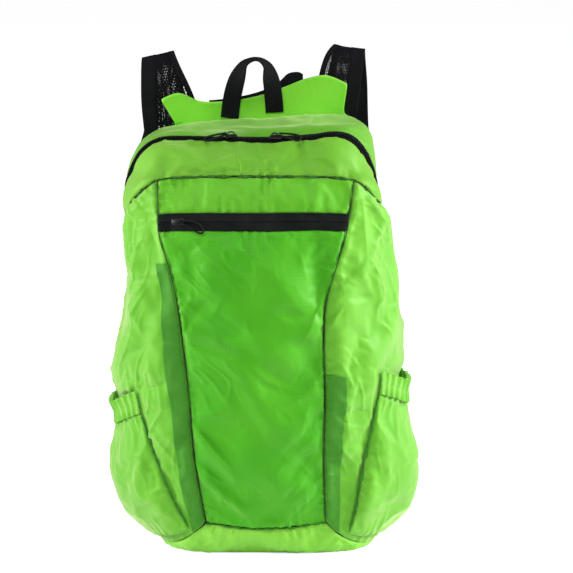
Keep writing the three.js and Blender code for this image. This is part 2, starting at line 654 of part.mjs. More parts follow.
function addBackPanel() {
  const steps = [stations(0, 1, 20), stations(0, 1, 14)];
  const grid = (inset) => steps[0].map((down) => steps[1].map((across) => backPoint(down, across, inset)));
  add("back_panel", wallBetween(grid(CLOTH), grid(0)), GREEN);

  // The binding is behind the yoke, from a little below its edge to just above it.
  const edge = yokeTopCurve();
  const profile = new THREE.SplineCurve(YOKE_BINDING.map((row) => new THREE.Vector2(row.across, row.height)));
  const layer = (inset) => {
    const upper = stations(0, 1, 16).map((share) => {
      const { x, y } = profile.getPoint(share);
      const t = stations(0, 1, CURVE_STEPS).find((place) => edge.getPoint(place).x >= x * HALF_WIDTH);
      const point = edge.getPoint(t).setY(BACK_FACE + CLOTH + REST_GAP + inset);
      return point.setZ(point.z + y * BINDING_PEAK);
    });
    const foot = Math.min(...YOKE_TOP.map((row) => row.rise)) * YOKE_RISE + BAG_HEIGHT - BINDING_TUCK;
    const lower = upper.map((point) => point.clone().setZ(foot));
    return [lower, upper];
  };
  add("yoke_binding", wallBetween(layer(WEBBING), layer(0)), BLACK_WEBBING);
}

// A body swept along a list of frames {centre, across, normal} with one section for each.
function swept(frames, sectionAt) {
  const rings = frames.map((frame, i) =>
    sectionAt(i / (frames.length - 1)).map(([u, w]) =>
      frame.centre.clone().addScaledVector(frame.across, u).addScaledVector(frame.normal, w),
    ),
  );
  const sides = rings[0].length;
  const index = [];
  for (let i = 0; i < rings.length - 1; i += 1) {
    for (let j = 0; j < sides; j += 1) {
      const [a, b] = [i * sides + j, i * sides + ((j + 1) % sides)];
      index.push(a, b, b + sides, a, b + sides, a + sides);
    }
  }
  const end = (rings.length - 1) * sides;
  for (let j = 1; j < sides - 1; j += 1) {
    index.push(0, j + 1, j, end, end + j, end + j + 1);
  }
  const geometry = new THREE.BufferGeometry().setFromPoints(rings.flat());
  geometry.setIndex(index);
  return facingOut(geometry);
}

// A rectangle, as corners across and through a ribbon.
function strip(from, to, thick) {
  return [[from, -thick / 2], [to, -thick / 2], [to, thick / 2], [from, thick / 2]];
}

// Frames along a curve, with across turned square to the run.
function framesOn(curve, steps, acrossAt) {
  return stations(0, 1, steps).map((share) => {
    const run = curve.getTangentAt(share);
    const across = acrossAt(curve.getUtoTmapping(share)).clone();
    across.addScaledVector(run, -across.dot(run)).normalize();
    return { centre: curve.getPointAt(share), across, normal: across.clone().cross(run) };
  });
}

// Shoulder strap lanes, side by side behind the yoke.
const STRAP_START = BACK_FACE + CLOTH + MESH / 2 + REST_GAP;

function addStrap(side) {
  const rows = STRAPS[side];
  const outwards = side === "left" ? -1 : 1;
  const curveAt = (share) =>
    new THREE.CatmullRomCurve3(
      rows.map((row) => {
        const across = outwards * lerp(row.inner, row.outer, share) * HALF_WIDTH;
        return new THREE.Vector3(across, STRAP_START + row.behind, row.up * BAG_HEIGHT);
      }),
    );
  const [curve, outer] = [curveAt(0.5), curveAt(1)];
  const parameters = stations(0, 1, STRAP_STEPS).map((share) => curve.getUtoTmapping(share));
  const dropAt = column(rows.map((row, i) => ({ ...row, place: i / (rows.length - 1) })), "drop", "place");
  const frames = framesOn(curve, STRAP_STEPS, (t) => new THREE.Vector3(outwards, 0, -dropAt(t)));
  const halves = parameters.map((t) => outer.getPoint(t).distanceTo(curve.getPoint(t)));
  const lanes = [
    { name: "webbing", edges: (half) => [half - OUTER_LANE, half], thick: WEBBING },
    { name: "mesh", edges: (half) => [MESH_START - half, half - OUTER_LANE - REST_GAP], thick: MESH },
    { name: "binding", edges: (half) => [-half, INNER_LANE - half], thick: WEBBING },
  ];
  for (const { name, edges, thick } of lanes) {
    const section = (share) => strip(...edges(halves[Math.round(share * STRAP_STEPS)]), thick);
    add(`strap_${name}_${side}`, swept(frames, section), name === "mesh" ? BLACK_MESH : BLACK_WEBBING);
  }
  addLowerStrap(side, curve.getPoint(1), curve.getTangent(1));
}

// The ladder buckle at the end of a strap, and the webbing from there to the bottom corner.
function addLowerStrap(side, end, run) {
  const outwards = side === "left" ? -1 : 1;
  const shape = new THREE.Shape();
  const [w, h] = [BUCKLE_WIDTH / 2, BUCKLE_HEIGHT];
  shape.moveTo(-w, 0).lineTo(w, 0).lineTo(w * 0.92, h).lineTo(-w * 0.92, h).closePath();
  const slot = (h - 3 * BUCKLE_BAR) / 2;
  for (const from of [BUCKLE_BAR, 2 * BUCKLE_BAR + slot]) {
    const hole = new THREE.Path();
    const half = w - BUCKLE_BAR - 1;
    hole.moveTo(-half, from).lineTo(-half, from + slot);
    hole.lineTo(half, from + slot).lineTo(half, from).closePath();
    shape.holes.push(hole);
  }
  const buckle = new THREE.ExtrudeGeometry(shape, { depth: BUCKLE_THICK, bevelEnabled: false });
  const across = new THREE.Vector3(outwards, 0, 0);
  across.addScaledVector(run, -across.dot(run)).normalize();
  const top = end.clone().addScaledVector(run, REST_GAP);
  buckle.translate(0, 0, -BUCKLE_THICK / 2);
  buckle.applyMatrix4(new THREE.Matrix4().makeBasis(across, run, across.clone().cross(run)).setPosition(top));
  add(`ladder_buckle_${side}`, buckle, BLACK_PLASTIC);

  const start = top.clone().addScaledVector(run, BUCKLE_HEIGHT + REST_GAP);
  const corner = rimEdge(side, 0.985).point;
  const foot = corner.clone().add(new THREE.Vector3(-outwards * LOWER_WEB_HALF, 0, LOWER_WEB_HALF));
  foot.setY(STRAP_START + LOWER_WEB_STANDOFF);
  const leaving = start.clone().addScaledVector(run, 6);
  const middle = start.clone().lerp(foot, 0.55).add(new THREE.Vector3(outwards * 3, 6, 0));
  const near = foot.clone().add(new THREE.Vector3(0, 1, LOWER_WEB_HALF * 1.6));
  const web = new THREE.CatmullRomCurve3([start, leaving, middle, near, foot], false, "centripetal");
  const frames = framesOn(web, 12, () => new THREE.Vector3(outwards, 0, 0));
  const section = strip(-LOWER_WEB_HALF, LOWER_WEB_HALF, WEBBING);
  add(`lower_webbing_${side}`, swept(frames, () => section), BLACK_WEBBING);
}

function addHandle() {
  const front = BACK_FACE - REST_GAP - WEBBING / 2;
  const points = HANDLE_PATH.map(
    (row) => new THREE.Vector3(HANDLE_ACROSS + row.across, front - row.forward, BAG_HEIGHT + row.lift),
  );
  const curve = new THREE.CatmullRomCurve3(points, false, "centripetal");
  const rows = HANDLE_PATH.map((row, i) => ({ ...row, place: i / (HANDLE_PATH.length - 1) }));
  const turn = column(rows, "turn", "place");
  const frames = framesOn(curve, 28, (t) => {
    const angle = degToRad(turn(t));
    return new THREE.Vector3(Math.cos(angle), -Math.sin(angle), 0);
  });
  add("grab_handle", swept(frames, () => strip(-HANDLE_HALF, HANDLE_HALF, WEBBING)), BLACK_WEBBING);
}

// Frames on top of a zip: across the tape, and outwards from the bag.
function zipFrames(surface, shares, lift, away) {
  return shares.map((share) => {
    const normal = outwardOf(surface, share, 0.5, away(share));
    const across = surface(share, 1).sub(surface(share, 0));
    across.addScaledVector(normal, -across.dot(normal)).normalize();
    return { centre: surface(share, 0.5).addScaledVector(normal, lift), across, normal };
  });
}

const MAIN_ZIP = (along, side, inset = 0) =>
  sidePoint("top", along, zipDepth(along) + lerp(-MAIN_ZIP_HALF, MAIN_ZIP_HALF, side), inset);
const POCKET_ZIP = (along, side, inset = 0) =>
  frontPoint(along, lerp(POCKET_ZIP_FROM, POCKET_ZIP_TO, side), inset);
const UP = () => new THREE.Vector3(0, -0.4, 1);
const FORWARD = () => new THREE.Vector3(0, -1, 0);

function addZips() {
  add("main_zip_tape", panel(MAIN_ZIP, ACROSS, [0, 0.5, 1], TAPE_SUNK, TAPE_THICK), ZIP_TAPE);
  add("pocket_zip_tape", panel(POCKET_ZIP, ACROSS, [0, 0.5, 1], TAPE_SUNK, TAPE_THICK), ZIP_TAPE);
  const section = [
    [-COIL_WIDTH / 2, 0],
    [COIL_WIDTH / 2, 0],
    [COIL_WIDTH * 0.36, COIL_HEIGHT],
    [-COIL_WIDTH * 0.36, COIL_HEIGHT],
  ];
  const away = (share) => new THREE.Vector3(2 * share - 1, -0.4, 1);
  const inside = [COIL_START, ...ACROSS.slice(1, -1), 1 - COIL_START];
  const frames = zipFrames(MAIN_ZIP, inside, COIL_LIFT, away);
  add("main_zip_coil", swept(frames, () => section), BLACK_PLASTIC);
  const overCoil = COIL_LIFT + COIL_HEIGHT + REST_GAP;
  addSlider("main_left", MAIN_ZIP, UP, overCoil);
  addSlider("main_right", MAIN_ZIP, UP, overCoil);
  addSlider("pocket", POCKET_ZIP, FORWARD, REST_GAP);
}

// A slider: a plate with a bridge over it, and the cord loop that pulls it.
function addSlider(name, surface, away, lift) {
  const { along, points, hangs } = SLIDERS[name];
  const [frame] = zipFrames(surface, [along], lift, away);
  const pull = frame.across.clone().cross(frame.normal);
  const ahead = surface(along + 0.02, 0.5).sub(surface(along - 0.02, 0.5));
  if (pull.dot(ahead) * points < 0) pull.negate();
  const side = frame.normal.clone().cross(pull);
  const basis = new THREE.Matrix4().makeBasis(pull, frame.normal, side.clone().negate());
  basis.setPosition(frame.centre);

  const [half, bridge] = [SLIDER_LENGTH / 2, BRIDGE_LENGTH / 2];
  const rise = SLIDER_PLATE + BRIDGE_HEIGHT;
  const profile = new THREE.Shape();
  profile.moveTo(-half, 0).lineTo(half, 0).lineTo(half, SLIDER_PLATE * 0.7).lineTo(bridge, SLIDER_PLATE);
  profile.lineTo(bridge, rise - 1).lineTo(bridge - 1, rise);
  profile.lineTo(1 - bridge, rise).lineTo(-bridge, rise - 1);
  profile.lineTo(-bridge, SLIDER_PLATE).lineTo(-half, SLIDER_PLATE * 0.7).closePath();
  const hole = new THREE.Path();
  const [x, low, high] = [bridge - BRIDGE_WALL, SLIDER_PLATE + 0.6, rise - BRIDGE_WALL];
  hole.moveTo(-x, low).lineTo(-x, high).lineTo(x, high).lineTo(x, low).closePath();
  profile.holes.push(hole);
  const body = new THREE.ExtrudeGeometry(profile, { depth: SLIDER_WIDTH, bevelEnabled: false });
  body.translate(0, 0, -SLIDER_WIDTH / 2).applyMatrix4(basis);
  add(`slider_${name}`, body, SLIDER_METAL);

  const cordHeight = SLIDER_PLATE + BRIDGE_HEIGHT * 0.5;
  const route = LOOP_ROUTE.map((row) => {
    const across = row.side + hangs * (row.reach / LOOP_REACH) ** HANG_CURVE;
    return new THREE.Vector3(bridge + REST_GAP + row.reach, cordHeight + row.lift, across).applyMatrix4(basis);
  });
  const path = new THREE.CatmullRomCurve3(route, false, "centripetal");
  const ring = new THREE.Shape(stations(0, 1, 8).slice(1).map((share) => {
    const angle = 2 * Math.PI * share;
    return new THREE.Vector2(Math.cos(angle), Math.sin(angle)).multiplyScalar(CORD_DIAMETER / 2);
  }));
  const cord = new THREE.ExtrudeGeometry(ring, { steps: CORD_STEPS, extrudePath: path, bevelEnabled: false });
  add(`pull_cord_${name}`, cord, BLACK_WEBBING);
}

// Green grosgrain strips sewn down the side panels, just behind the front seams.
function addSeamTape(side, from) {
  const away = new THREE.Vector3(side === "left" ? -0.5 : 0.5, -1, 0);
  const layer = (lift) =>
    DOWN.filter((along) => along >= from).map((along) => {
      const edges = [0, DEPTHS[1]].map((depth) => sidePoint(side, along, depth));
      const normal = outwardOf((a, b) => sidePoint(side, a, b), along, DEPTHS[1] / 2, away);
      return STRIP_SHARES.map((share) =>
        edges[0].clone().lerp(edges[1], share).addScaledVector(normal, lift),
      );
    });
  add(`seam_tape_${side}`, wallBetween(layer(REST_GAP + STRIP_THICK), layer(REST_GAP)), TAPE_GREEN);
}

// The share down a side at which the bag, at some depth, is at a height.
function alongAtHeight(side, depth, height) {
  let [high, low] = [0, 1];
  for (let i = 0; i < 18; i += 1) {
    const middle = (high + low) / 2;
    if (sidePoint(side, middle, depth).z > height) high = middle;
    else low = middle;
  }
  return high;
}

// An elastic side pocket: bellied cloth below, and the gathered hem above it.
function addPocket(side) {
  const { hem, front, foot, mouth, swell } = POCKETS[side];
  const away = new THREE.Vector3(side === "left" ? -1 : 1, 0, -0.3);
  const surface = (a, b) => sidePoint(side, a, b);
  const hemTop = hem * BAG_HEIGHT;
  const hemFoot = hemTop - HEM_HEIGHT;
  // A place on the bag under the pocket: share down from the hem's top, and across from the front.
  const off = (height, share, across, lift) => {
    const depth = lerp(lerp(front, foot, share), POCKET_BACK_SHARE, across);
    const rise = HEM_RISE * Math.max(1 - 2 * across, 0);
    const along = height === null
      ? lerp(alongAtHeight(side, depth, hemFoot + rise), POCKET_FOOT_ALONG, share)
      : alongAtHeight(side, depth, height + rise);
    return surface(along, depth).addScaledVector(outwardOf(surface, along, depth, away), lift);
  };
  const clothLift = (down, across) => {
    const open = Math.sin(Math.PI * across) ** 0.6;
    const belly = lerp(mouth, swell, smoothstep(down, 0, 0.45));
    return open * belly * Math.sqrt(1 - smoothstep(down, 0.6, 1));
  };
  const shares = stations(0, 1, 12);
  const cloth = (thick) =>
    stations(0, 1, 9).map((down) =>
      shares.map((across) => off(null, down, across, CLOTH_LIFT + thick + clothLift(down, across))),
    );
  add(`side_pocket_${side}`, wallBetween(trimmed(cloth(CLOTH)), trimmed(cloth(0))), GREEN);

  const gathers = stations(0, 1, 4 * HEM_GATHERS);
  const band = (thick) =>
    [0, 0.5, 1].map((up) =>
      gathers.map((across) => {
        const ruffle = HEM_RUFFLE * Math.sin(2 * Math.PI * HEM_GATHERS * across) * Math.sin(Math.PI * across);
        const lift = mouth * Math.sin(Math.PI * across) ** 0.6 + ruffle * lerp(0.4, 1, up);
        return off(lerp(hemFoot, hemTop, up), 0, across, CLOTH_LIFT + thick + Math.max(lift, 0));
      }),
    );
  add(`pocket_hem_${side}`, wallBetween(trimmed(band(CLOTH)), trimmed(band(0))), GREEN);
}

addShell();
addBackPanel();
addZips();
addHandle();
addSeamTape("left", 0.24);
addSeamTape("right", 0.56);
for (const side of ["left", "right"]) {
  addPocket(side);
  addStrap(side);
}

// The origin is the middle of the base, under the whole pack.
const bounds = new THREE.Box3().setFromObject(bag);
const middle = bounds.getCenter(new THREE.Vector3());
bag.position.set(-middle.x, -middle.y, -bounds.min.z);

export default bag;
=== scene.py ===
# %% [markdown]
# # A packable backpack, sewn up in Blender
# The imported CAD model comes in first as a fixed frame. Every cloth, webbing and zip piece below is
# modelled over it, in metres, in the same place, and then takes over from the plain solid.

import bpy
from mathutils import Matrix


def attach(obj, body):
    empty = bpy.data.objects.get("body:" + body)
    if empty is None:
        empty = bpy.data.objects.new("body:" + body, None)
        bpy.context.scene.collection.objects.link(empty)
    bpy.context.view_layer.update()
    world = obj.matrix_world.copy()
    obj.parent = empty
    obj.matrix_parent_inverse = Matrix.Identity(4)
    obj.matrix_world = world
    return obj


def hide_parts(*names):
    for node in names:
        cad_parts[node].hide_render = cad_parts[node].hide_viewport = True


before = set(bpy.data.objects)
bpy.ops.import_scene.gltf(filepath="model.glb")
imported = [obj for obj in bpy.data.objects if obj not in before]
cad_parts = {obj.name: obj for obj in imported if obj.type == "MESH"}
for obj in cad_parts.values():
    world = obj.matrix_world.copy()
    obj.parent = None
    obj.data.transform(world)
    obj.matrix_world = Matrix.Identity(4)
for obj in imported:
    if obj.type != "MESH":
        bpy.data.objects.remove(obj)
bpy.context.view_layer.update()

# %% Modules
import math

import bmesh
import bpy
import numpy as np
from mathutils import Matrix, Vector, noise
from mathutils.bvhtree import BVHTree
from mathutils.kdtree import KDTree

# %% [markdown]
# ## Camera
# The photograph was taken from the front, a little from above, with a long lens. A long lens far
# away keeps near and far parts of the bag at the same scale, as in the picture.

# %% Camera
CAMERA_DOWN = math.radians(12)
CAMERA_AWAY = 6.0
VIEW_WIDTH = 0.60165
SENSOR_WIDTH = 36
AIM = Vector((0.0248, 0, 0.2718))
camera_data = bpy.data.cameras.new("camera")
camera_data.sensor_width = SENSOR_WIDTH
camera_data.lens = SENSOR_WIDTH * CAMERA_AWAY / VIEW_WIDTH
camera = bpy.data.objects.new("camera", camera_data)
camera.location = AIM + CAMERA_AWAY * Vector((0, -math.cos(CAMERA_DOWN), math.sin(CAMERA_DOWN)))
camera.rotation_euler = (math.pi / 2 - CAMERA_DOWN, 0, 0)
bpy.context.scene.collection.objects.link(camera)
bpy.context.scene.camera = camera
print("camera at", [round(x, 3) for x in camera.location])

# %% [markdown]
# ## Reading the bag's sizes
# A sewn bag is drawn as seams first, and the cloth is what spans them. The tables here are the
# seams, in millimetres or shares of the bag, and a smooth line is laid through each of them. A
# centripetal line is used because it never loops between points that stand close together.

# %% Driving sizes, in millimetres
BAG_HEIGHT = 441
HALF_WIDTH = 150
REACH = 76
YOKE_RISE = 45
CLOTH = 1.6
WEBBING = 1.6
REST_GAP = 0.35
SEAM_GAP = 0.4
SPAN_STEPS = 60
FORWARD = np.array([0.0, -1.0, 0.0])
MIDDLE = np.array([-7.2608, -12.2046, 0.0])


def in_frame(points):
    """From the pattern's millimetres to the frame's metres."""
    return (np.asarray(points) + MIDDLE) * 0.001


def unit(vectors):
    return vectors / np.maximum(np.linalg.norm(vectors, axis=-1, keepdims=True), 1e-9)


def smooth(x, low=0.0, high=1.0):
    t = np.clip((x - low) / (high - low), 0, 1)
    return t * t * (3 - 2 * t)


# %% Smooth lines through a few points
def flowing(points, closed=False, steps=SPAN_STEPS):
    """Many points of a centripetal line through a few, a fixed number of steps to each span."""
    p = np.asarray(points, float)
    if closed:
        ring = np.vstack([p[-1:], p, p[:2]])
    else:
        ring = np.vstack([2 * p[:1] - p[1:2], p, 2 * p[-1:] - p[-2:-1]])
    p0, p1, p2, p3 = (ring[i : len(ring) - 3 + i][:, None] for i in range(4))
    pairs = ((p0, p1), (p1, p2), (p2, p3))
    d0, d1, d2 = (np.sqrt(np.linalg.norm(b - a, axis=-1, keepdims=True)) for a, b in pairs)
    t1 = ((p1 - p0) / d0 - (p2 - p0) / (d0 + d1) + (p2 - p1) / d1) * d1
    t2 = ((p2 - p1) / d1 - (p3 - p1) / (d1 + d2) + (p3 - p2) / d2) * d1
    s = np.linspace(0, 1, steps, endpoint=False)[None, :, None]
    line = p1 + t1 * s + (3 * (p2 - p1) - 2 * t1 - t2) * s**2 + (2 * (p1 - p2) + t1 + t2) * s**3
    return np.vstack([line.reshape(-1, p.shape[1]), p2[-1]])


class Line:
    """A line of many points, read by the share of its length. Extra columns ride along."""

    def __init__(self, points):
        self.points = np.asarray(points, float)
        steps = np.linalg.norm(np.diff(self.points[:, :3], axis=0), axis=1)
        self.reach = np.concatenate([[0], np.cumsum(steps)])
        self.length = self.reach[-1]

    def at(self, share):
        reach = np.asarray(share, float) * self.length
        return np.stack([np.interp(reach, self.reach, column) for column in self.points.T], -1)

    def run(self, share, step=0.003):
        share = np.asarray(share, float)
        ahead = self.at(np.minimum(share + step, 1)) - self.at(np.maximum(share - step, 0))
        return unit(ahead[..., :3])


# %% Front seams, top to bottom: height, left, right and forward, as shares
FRONT_SEAMS = [
    (0.902, 0.68, 0.68, 0.62), (0.84, 0.673, 0.655, 0.77), (0.78, 0.667, 0.625, 0.87),
    (0.7, 0.595, 0.553, 0.95), (0.62, 0.545, 0.487, 1.0), (0.52, 0.505, 0.473, 1.02),
    (0.4, 0.465, 0.483, 1.02), (0.25, 0.43, 0.475, 0.97), (0.15, 0.385, 0.48, 0.9),
    (0.079, 0.35, 0.487, 0.82),
]
SEAM = {
    "left": Line(flowing([(-a * HALF_WIDTH, -f * REACH, u * BAG_HEIGHT) for u, a, b, f in FRONT_SEAMS])),
    "right": Line(flowing([(b * HALF_WIDTH, -f * REACH, u * BAG_HEIGHT) for u, a, b, f in FRONT_SEAMS])),
}
print("front seams", round(SEAM["left"].length), round(SEAM["right"].length), "mm")

# %% The rim on the back panel, clockwise: share across, share up
RIM_TOP = [
    (-0.8, 0.762), (-0.84, 0.825), (-0.845, 0.885), (-0.79, 0.936), (-0.69, 0.966), (-0.42, 0.983),
    (0, 0.997), (0.4, 1.01), (0.63, 1.006), (0.735, 0.98), (0.775, 0.93), (0.775, 0.86),
]
RIM_RIGHT = [
    (0.76, 0.762), (0.825, 0.68), (0.92, 0.6), (0.96, 0.51), (0.967, 0.42), (0.94, 0.3), (0.92, 0.2),
    (0.91, 0.1),
]
RIM_BOTTOM = [(0.84, 0.035), (0.73, 0.012), (0.4, 0.007), (0, 0.007), (-0.36, 0.007), (-0.56, 0.012)]
RIM_LEFT = [
    (-0.665, 0.035), (-0.75, 0.1), (-0.83, 0.2), (-0.885, 0.3), (-0.965, 0.42), (-0.905, 0.51), (-0.81, 0.6),
    (-0.77, 0.68),
]
rim_rows = RIM_TOP + RIM_RIGHT + RIM_BOTTOM + RIM_LEFT
rim_points = flowing([(a * HALF_WIDTH, REACH, u * BAG_HEIGHT) for a, u in rim_rows], closed=True)
rim_ahead = unit(np.roll(rim_points[:-1], -1, axis=0) - np.roll(rim_points[:-1], 1, axis=0))
rim_ahead = np.vstack([rim_ahead, rim_ahead[:1]])
rim_line = np.hstack([rim_points, np.stack([-rim_ahead[:, 2], 0 * rim_ahead[:, 0], rim_ahead[:, 0]], -1)])
at_right = SPAN_STEPS * len(RIM_TOP)
at_bottom = at_right + SPAN_STEPS * len(RIM_RIGHT)
at_left = at_bottom + SPAN_STEPS * len(RIM_BOTTOM)
RIM = {
    "top": Line(rim_line[: at_right + 1]),
    "right": Line(rim_line[at_right : at_bottom + 1]),
    "bottom": Line(rim_line[at_bottom : at_left + 1][::-1]),
    "left": Line(rim_line[at_left:][::-1]),
}

# %% [markdown]
# ## Surfaces between the seams
# The side cloth leaves a front seam in one direction and arrives at the rim in another, so each
# thread across it is a Bezier arc. The front panel is a Coons patch, which is the usual way to
# fill four edges. Both are functions of two shares, so they can be stepped as finely as wanted.

# %% The way the cloth leaves the front seams, in degrees, and the soft folds
LEAVING = {
    "side": [(0, 214), (0.06, 190), (0.2, 180), (0.8, 185), (1, 225)],
    "top": [(0, 214), (0.05, 176), (0.25, 125), (0.5, 90)],
    "bottom": [(0, 225), (0.25, 252), (0.5, 270)],
}
# How far the upper and lower edge of the front bow forward and up, and how square the rise is.
EDGE_BOW = {"top": (5, 4, 4), "bottom": (7, -4, 2)}
# The arcs' reach: share of the span, with a little more, and much more under the base.
ARC_LEAVE, ARC_MORE, ARC_UNDER = 0.55, 25, 24
# The arcs' pull at the rim: aside, upwards, downwards, and the share of the depth.
PULL_ASIDE, PULL_UP, PULL_DOWN, ARC_ARRIVE = 21, 5, 9.6, 0.5
SIDE_FADE, SEAM_FADE = 0.24, 0.08
FRONT_CROWN = 9
# Each fold: across, up, to across, to up, spread, rise.
FOLDS = [
    (-0.48, 0.7, 0.02, 0.5, 0.13, 0.022), (-0.42, 0.58, 0.3, 0.46, 0.1, -0.022),
    (0.1, 0.76, 0.36, 0.56, 0.12, 0.026), (0.42, 0.76, 0.42, 0.6, 0.09, -0.03),
    (-0.4, 0.3, -0.15, 0.2, 0.06, 0.03), (-0.36, 0.2, -0.08, 0.12, 0.06, 0.026),
    (-0.3, 0.9, 0.4, 0.86, 0.07, 0.018), (-0.8, 0.66, -0.72, 0.42, 0.1, -0.035),
    (-0.68, 0.56, -0.6, 0.3, 0.08, 0.024), (0.72, 0.62, 0.66, 0.36, 0.09, -0.03),
    (0.86, 0.66, 0.82, 0.42, 0.08, 0.024), (-0.8, 0.9, -0.62, 0.8, 0.09, -0.02),
    (-0.3, 0.975, 0.3, 0.955, 0.1, -0.02),
]


def leaving(side, along):
    """The direction in which the cloth leaves a front seam."""
    far = along > 0.5 if side in ("top", "bottom") else np.full(np.shape(along), side == "right")
    rows = np.array(LEAVING.get(side, LEAVING["side"]))
    read = np.where(far & (side != "right"), 1 - along, along)
    turn = np.interp(read, rows[:, 0], rows[:, 1])
    angle = np.radians(np.where(far, 180 - turn, turn))
    return np.stack([np.cos(angle), 0 * angle, np.sin(angle)], -1)


def front_edge(side, along):
    if side in SEAM:
        return SEAM[side].at(along)
    end = 0.0 if side == "top" else 1.0
    first, last = (SEAM[name].at(end) for name in ("left", "right"))
    point = first + (last - first) * np.asarray(along)[..., None]
    middle = 2 * np.asarray(along) - 1
    bow, rise, square = EDGE_BOW[side]
    return point + np.stack([0 * middle, -bow * (1 - middle**2), rise * (1 - middle**square)], -1)


# %% Folds, sides and front as functions of two shares
def fold_height(x, z):
    height = 0 * x
    for across, up, to_across, to_up, spread, rise in FOLDS:
        start = np.array([across * HALF_WIDTH, up * BAG_HEIGHT])
        run = np.array([to_across * HALF_WIDTH, to_up * BAG_HEIGHT]) - start
        place = np.stack([x, z], -1) - start
        share = np.clip(place @ run / (run @ run), 0, 1)
        away = np.linalg.norm(place - share[..., None] * run, axis=-1) / (spread * HALF_WIDTH)
        height = height + rise * HALF_WIDTH * np.exp(-away * away)
    return height


def faded(share, edge):
    return smooth(share, 0, edge) * smooth(1 - share, 0, edge)


def side_point(side, along, depth):
    """A point of the sides, top or base, from the front seam (0) to the rim (1)."""
    along, depth = np.broadcast_arrays(np.asarray(along, float), np.asarray(depth, float))
    front, out = front_edge(side, along), leaving(side, along)
    both = RIM[side].at(along)
    rim, rim_out = both[..., :3], unit(both[..., 3:])
    span = np.hypot(rim[..., 0] - front[..., 0], rim[..., 2] - front[..., 2])
    down = np.maximum(-rim_out[..., 2], 0)
    leave = ARC_LEAVE * (span + ARC_MORE) + ARC_UNDER * down
    pull = PULL_ASIDE * abs(rim_out[..., 0]) + PULL_UP * np.maximum(rim_out[..., 2], 0) + PULL_DOWN * down
    arrive = ARC_ARRIVE * (REACH - front[..., 1])
    back = -FORWARD
    a, b = front, front + out * leave[..., None]
    c, d = rim + rim_out * pull[..., None] - back * arrive[..., None], rim
    t = depth[..., None]
    point = a * (1 - t) ** 3 + 3 * b * t * (1 - t) ** 2 + 3 * c * t * t * (1 - t) + d * t**3
    lift = fold_height(point[..., 0], point[..., 2]) * faded(depth, SIDE_FADE)
    lift = lift * faded(along, SEAM_FADE) * (1 - down)
    turn = math.pi / 2 * depth
    point = point + rim_out * (lift * np.sin(turn))[..., None] - back * (lift * np.cos(turn))[..., None]
    point[..., 2] = np.maximum(point[..., 2], 0)
    return point


def front_point(across, down):
    """A point of the front, from the left seam (0) to the right one, and from its top down."""
    across, down = np.broadcast_arrays(np.asarray(across, float), np.asarray(down, float))
    a, d = across[..., None], down[..., None]
    rows = front_edge("top", across) * (1 - d) + front_edge("bottom", across) * d
    columns = front_edge("left", down) * (1 - a) + front_edge("right", down) * a
    ends = [front_edge(name, np.full(1, share))[0] for name in ("top", "bottom") for share in (0.0, 1.0)]
    corners = (ends[0] * (1 - a) + ends[1] * a) * (1 - d) + (ends[2] * (1 - a) + ends[3] * a) * d
    point = rows + columns - corners
    crown = np.sqrt(np.clip(np.sin(math.pi * across) * np.sin(math.pi * down), 0, 1))
    fold = fold_height(point[..., 0], point[..., 2]) * faded(across, SEAM_FADE) * faded(down, SEAM_FADE)
    point[..., 1] -= FRONT_CROWN * crown + fold
    return point


# %% [markdown]
# ## The back panel and its yoke
# The back panel closes the rim and runs on above the top seam as a yoke, where the straps and the
# handle are sewn. It is one flat piece of cloth, so it is a Coons patch too, pushed out a little
# in its lower half.

# %% The back panel as a function
BACK_FACE = REACH + SEAM_GAP / 2
BACK_CROWN, CROWN_TOP = 7, 0.9
YOKE_TOP = [
    (-0.673, 0.42), (-0.547, 0.58), (-0.39, 0.38), (-0.17, 0.4), (0.04, 0.53), (0.19, 0.71),
    (0.36, 0.93), (0.49, 1), (0.644, 0.8),
]
YOKE_FOOT = {"left": -0.54, "right": 0.59}
yoke_edge = Line(flowing([(a * HALF_WIDTH, BACK_FACE, BAG_HEIGHT + r * YOKE_RISE) for a, r in YOKE_TOP]))


def back_side(side):
    shares = np.linspace(0, 0.5, 41)
    over = RIM["top"].at(shares if side == "left" else 1 - shares)[:, :3]
    kept = over[np.abs(over[:, 0]) >= abs(YOKE_FOOT[side] * HALF_WIDTH)][::-1]
    down = RIM[side].at(np.linspace(0, 1, 31)[1:])[:, :3]
    points = np.vstack([yoke_edge.at(0.0 if side == "left" else 1.0)[None, :], kept, down])
    points[:, 1] = BACK_FACE
    return Line(points)


BACK_EDGE = {"left": back_side("left"), "right": back_side("right")}


def back_point(across, down):
    across, down = np.broadcast_arrays(np.asarray(across, float), np.asarray(down, float))
    a, d = across[..., None], down[..., None]
    top, bottom = yoke_edge.at(across), RIM["bottom"].at(across)[..., :3]
    left, right = BACK_EDGE["left"].at(down), BACK_EDGE["right"].at(down)
    ends = [BACK_EDGE[name].at(share) for share in (0.0, 1.0) for name in ("left", "right")]
    corners = (ends[0] * (1 - a) + ends[1] * a) * (1 - d) + (ends[2] * (1 - a) + ends[3] * a) * d
    point = top * (1 - d) + bottom * d + left * (1 - a) + right * a - corners
    height = np.clip(1 - point[..., 2] / (CROWN_TOP * BAG_HEIGHT), 0, 1)
    crown = BACK_CROWN * np.sin(math.pi * across) * np.sin(math.pi * height)
    point[..., 1] = BACK_FACE + CLOTH + crown
    return point


# %% [markdown]
# ## Zips
# The long zip dips in the middle of the top, and the pocket zip crosses the front in a coated
# tape. Their places are shares of the surfaces above, so they stay on the cloth.

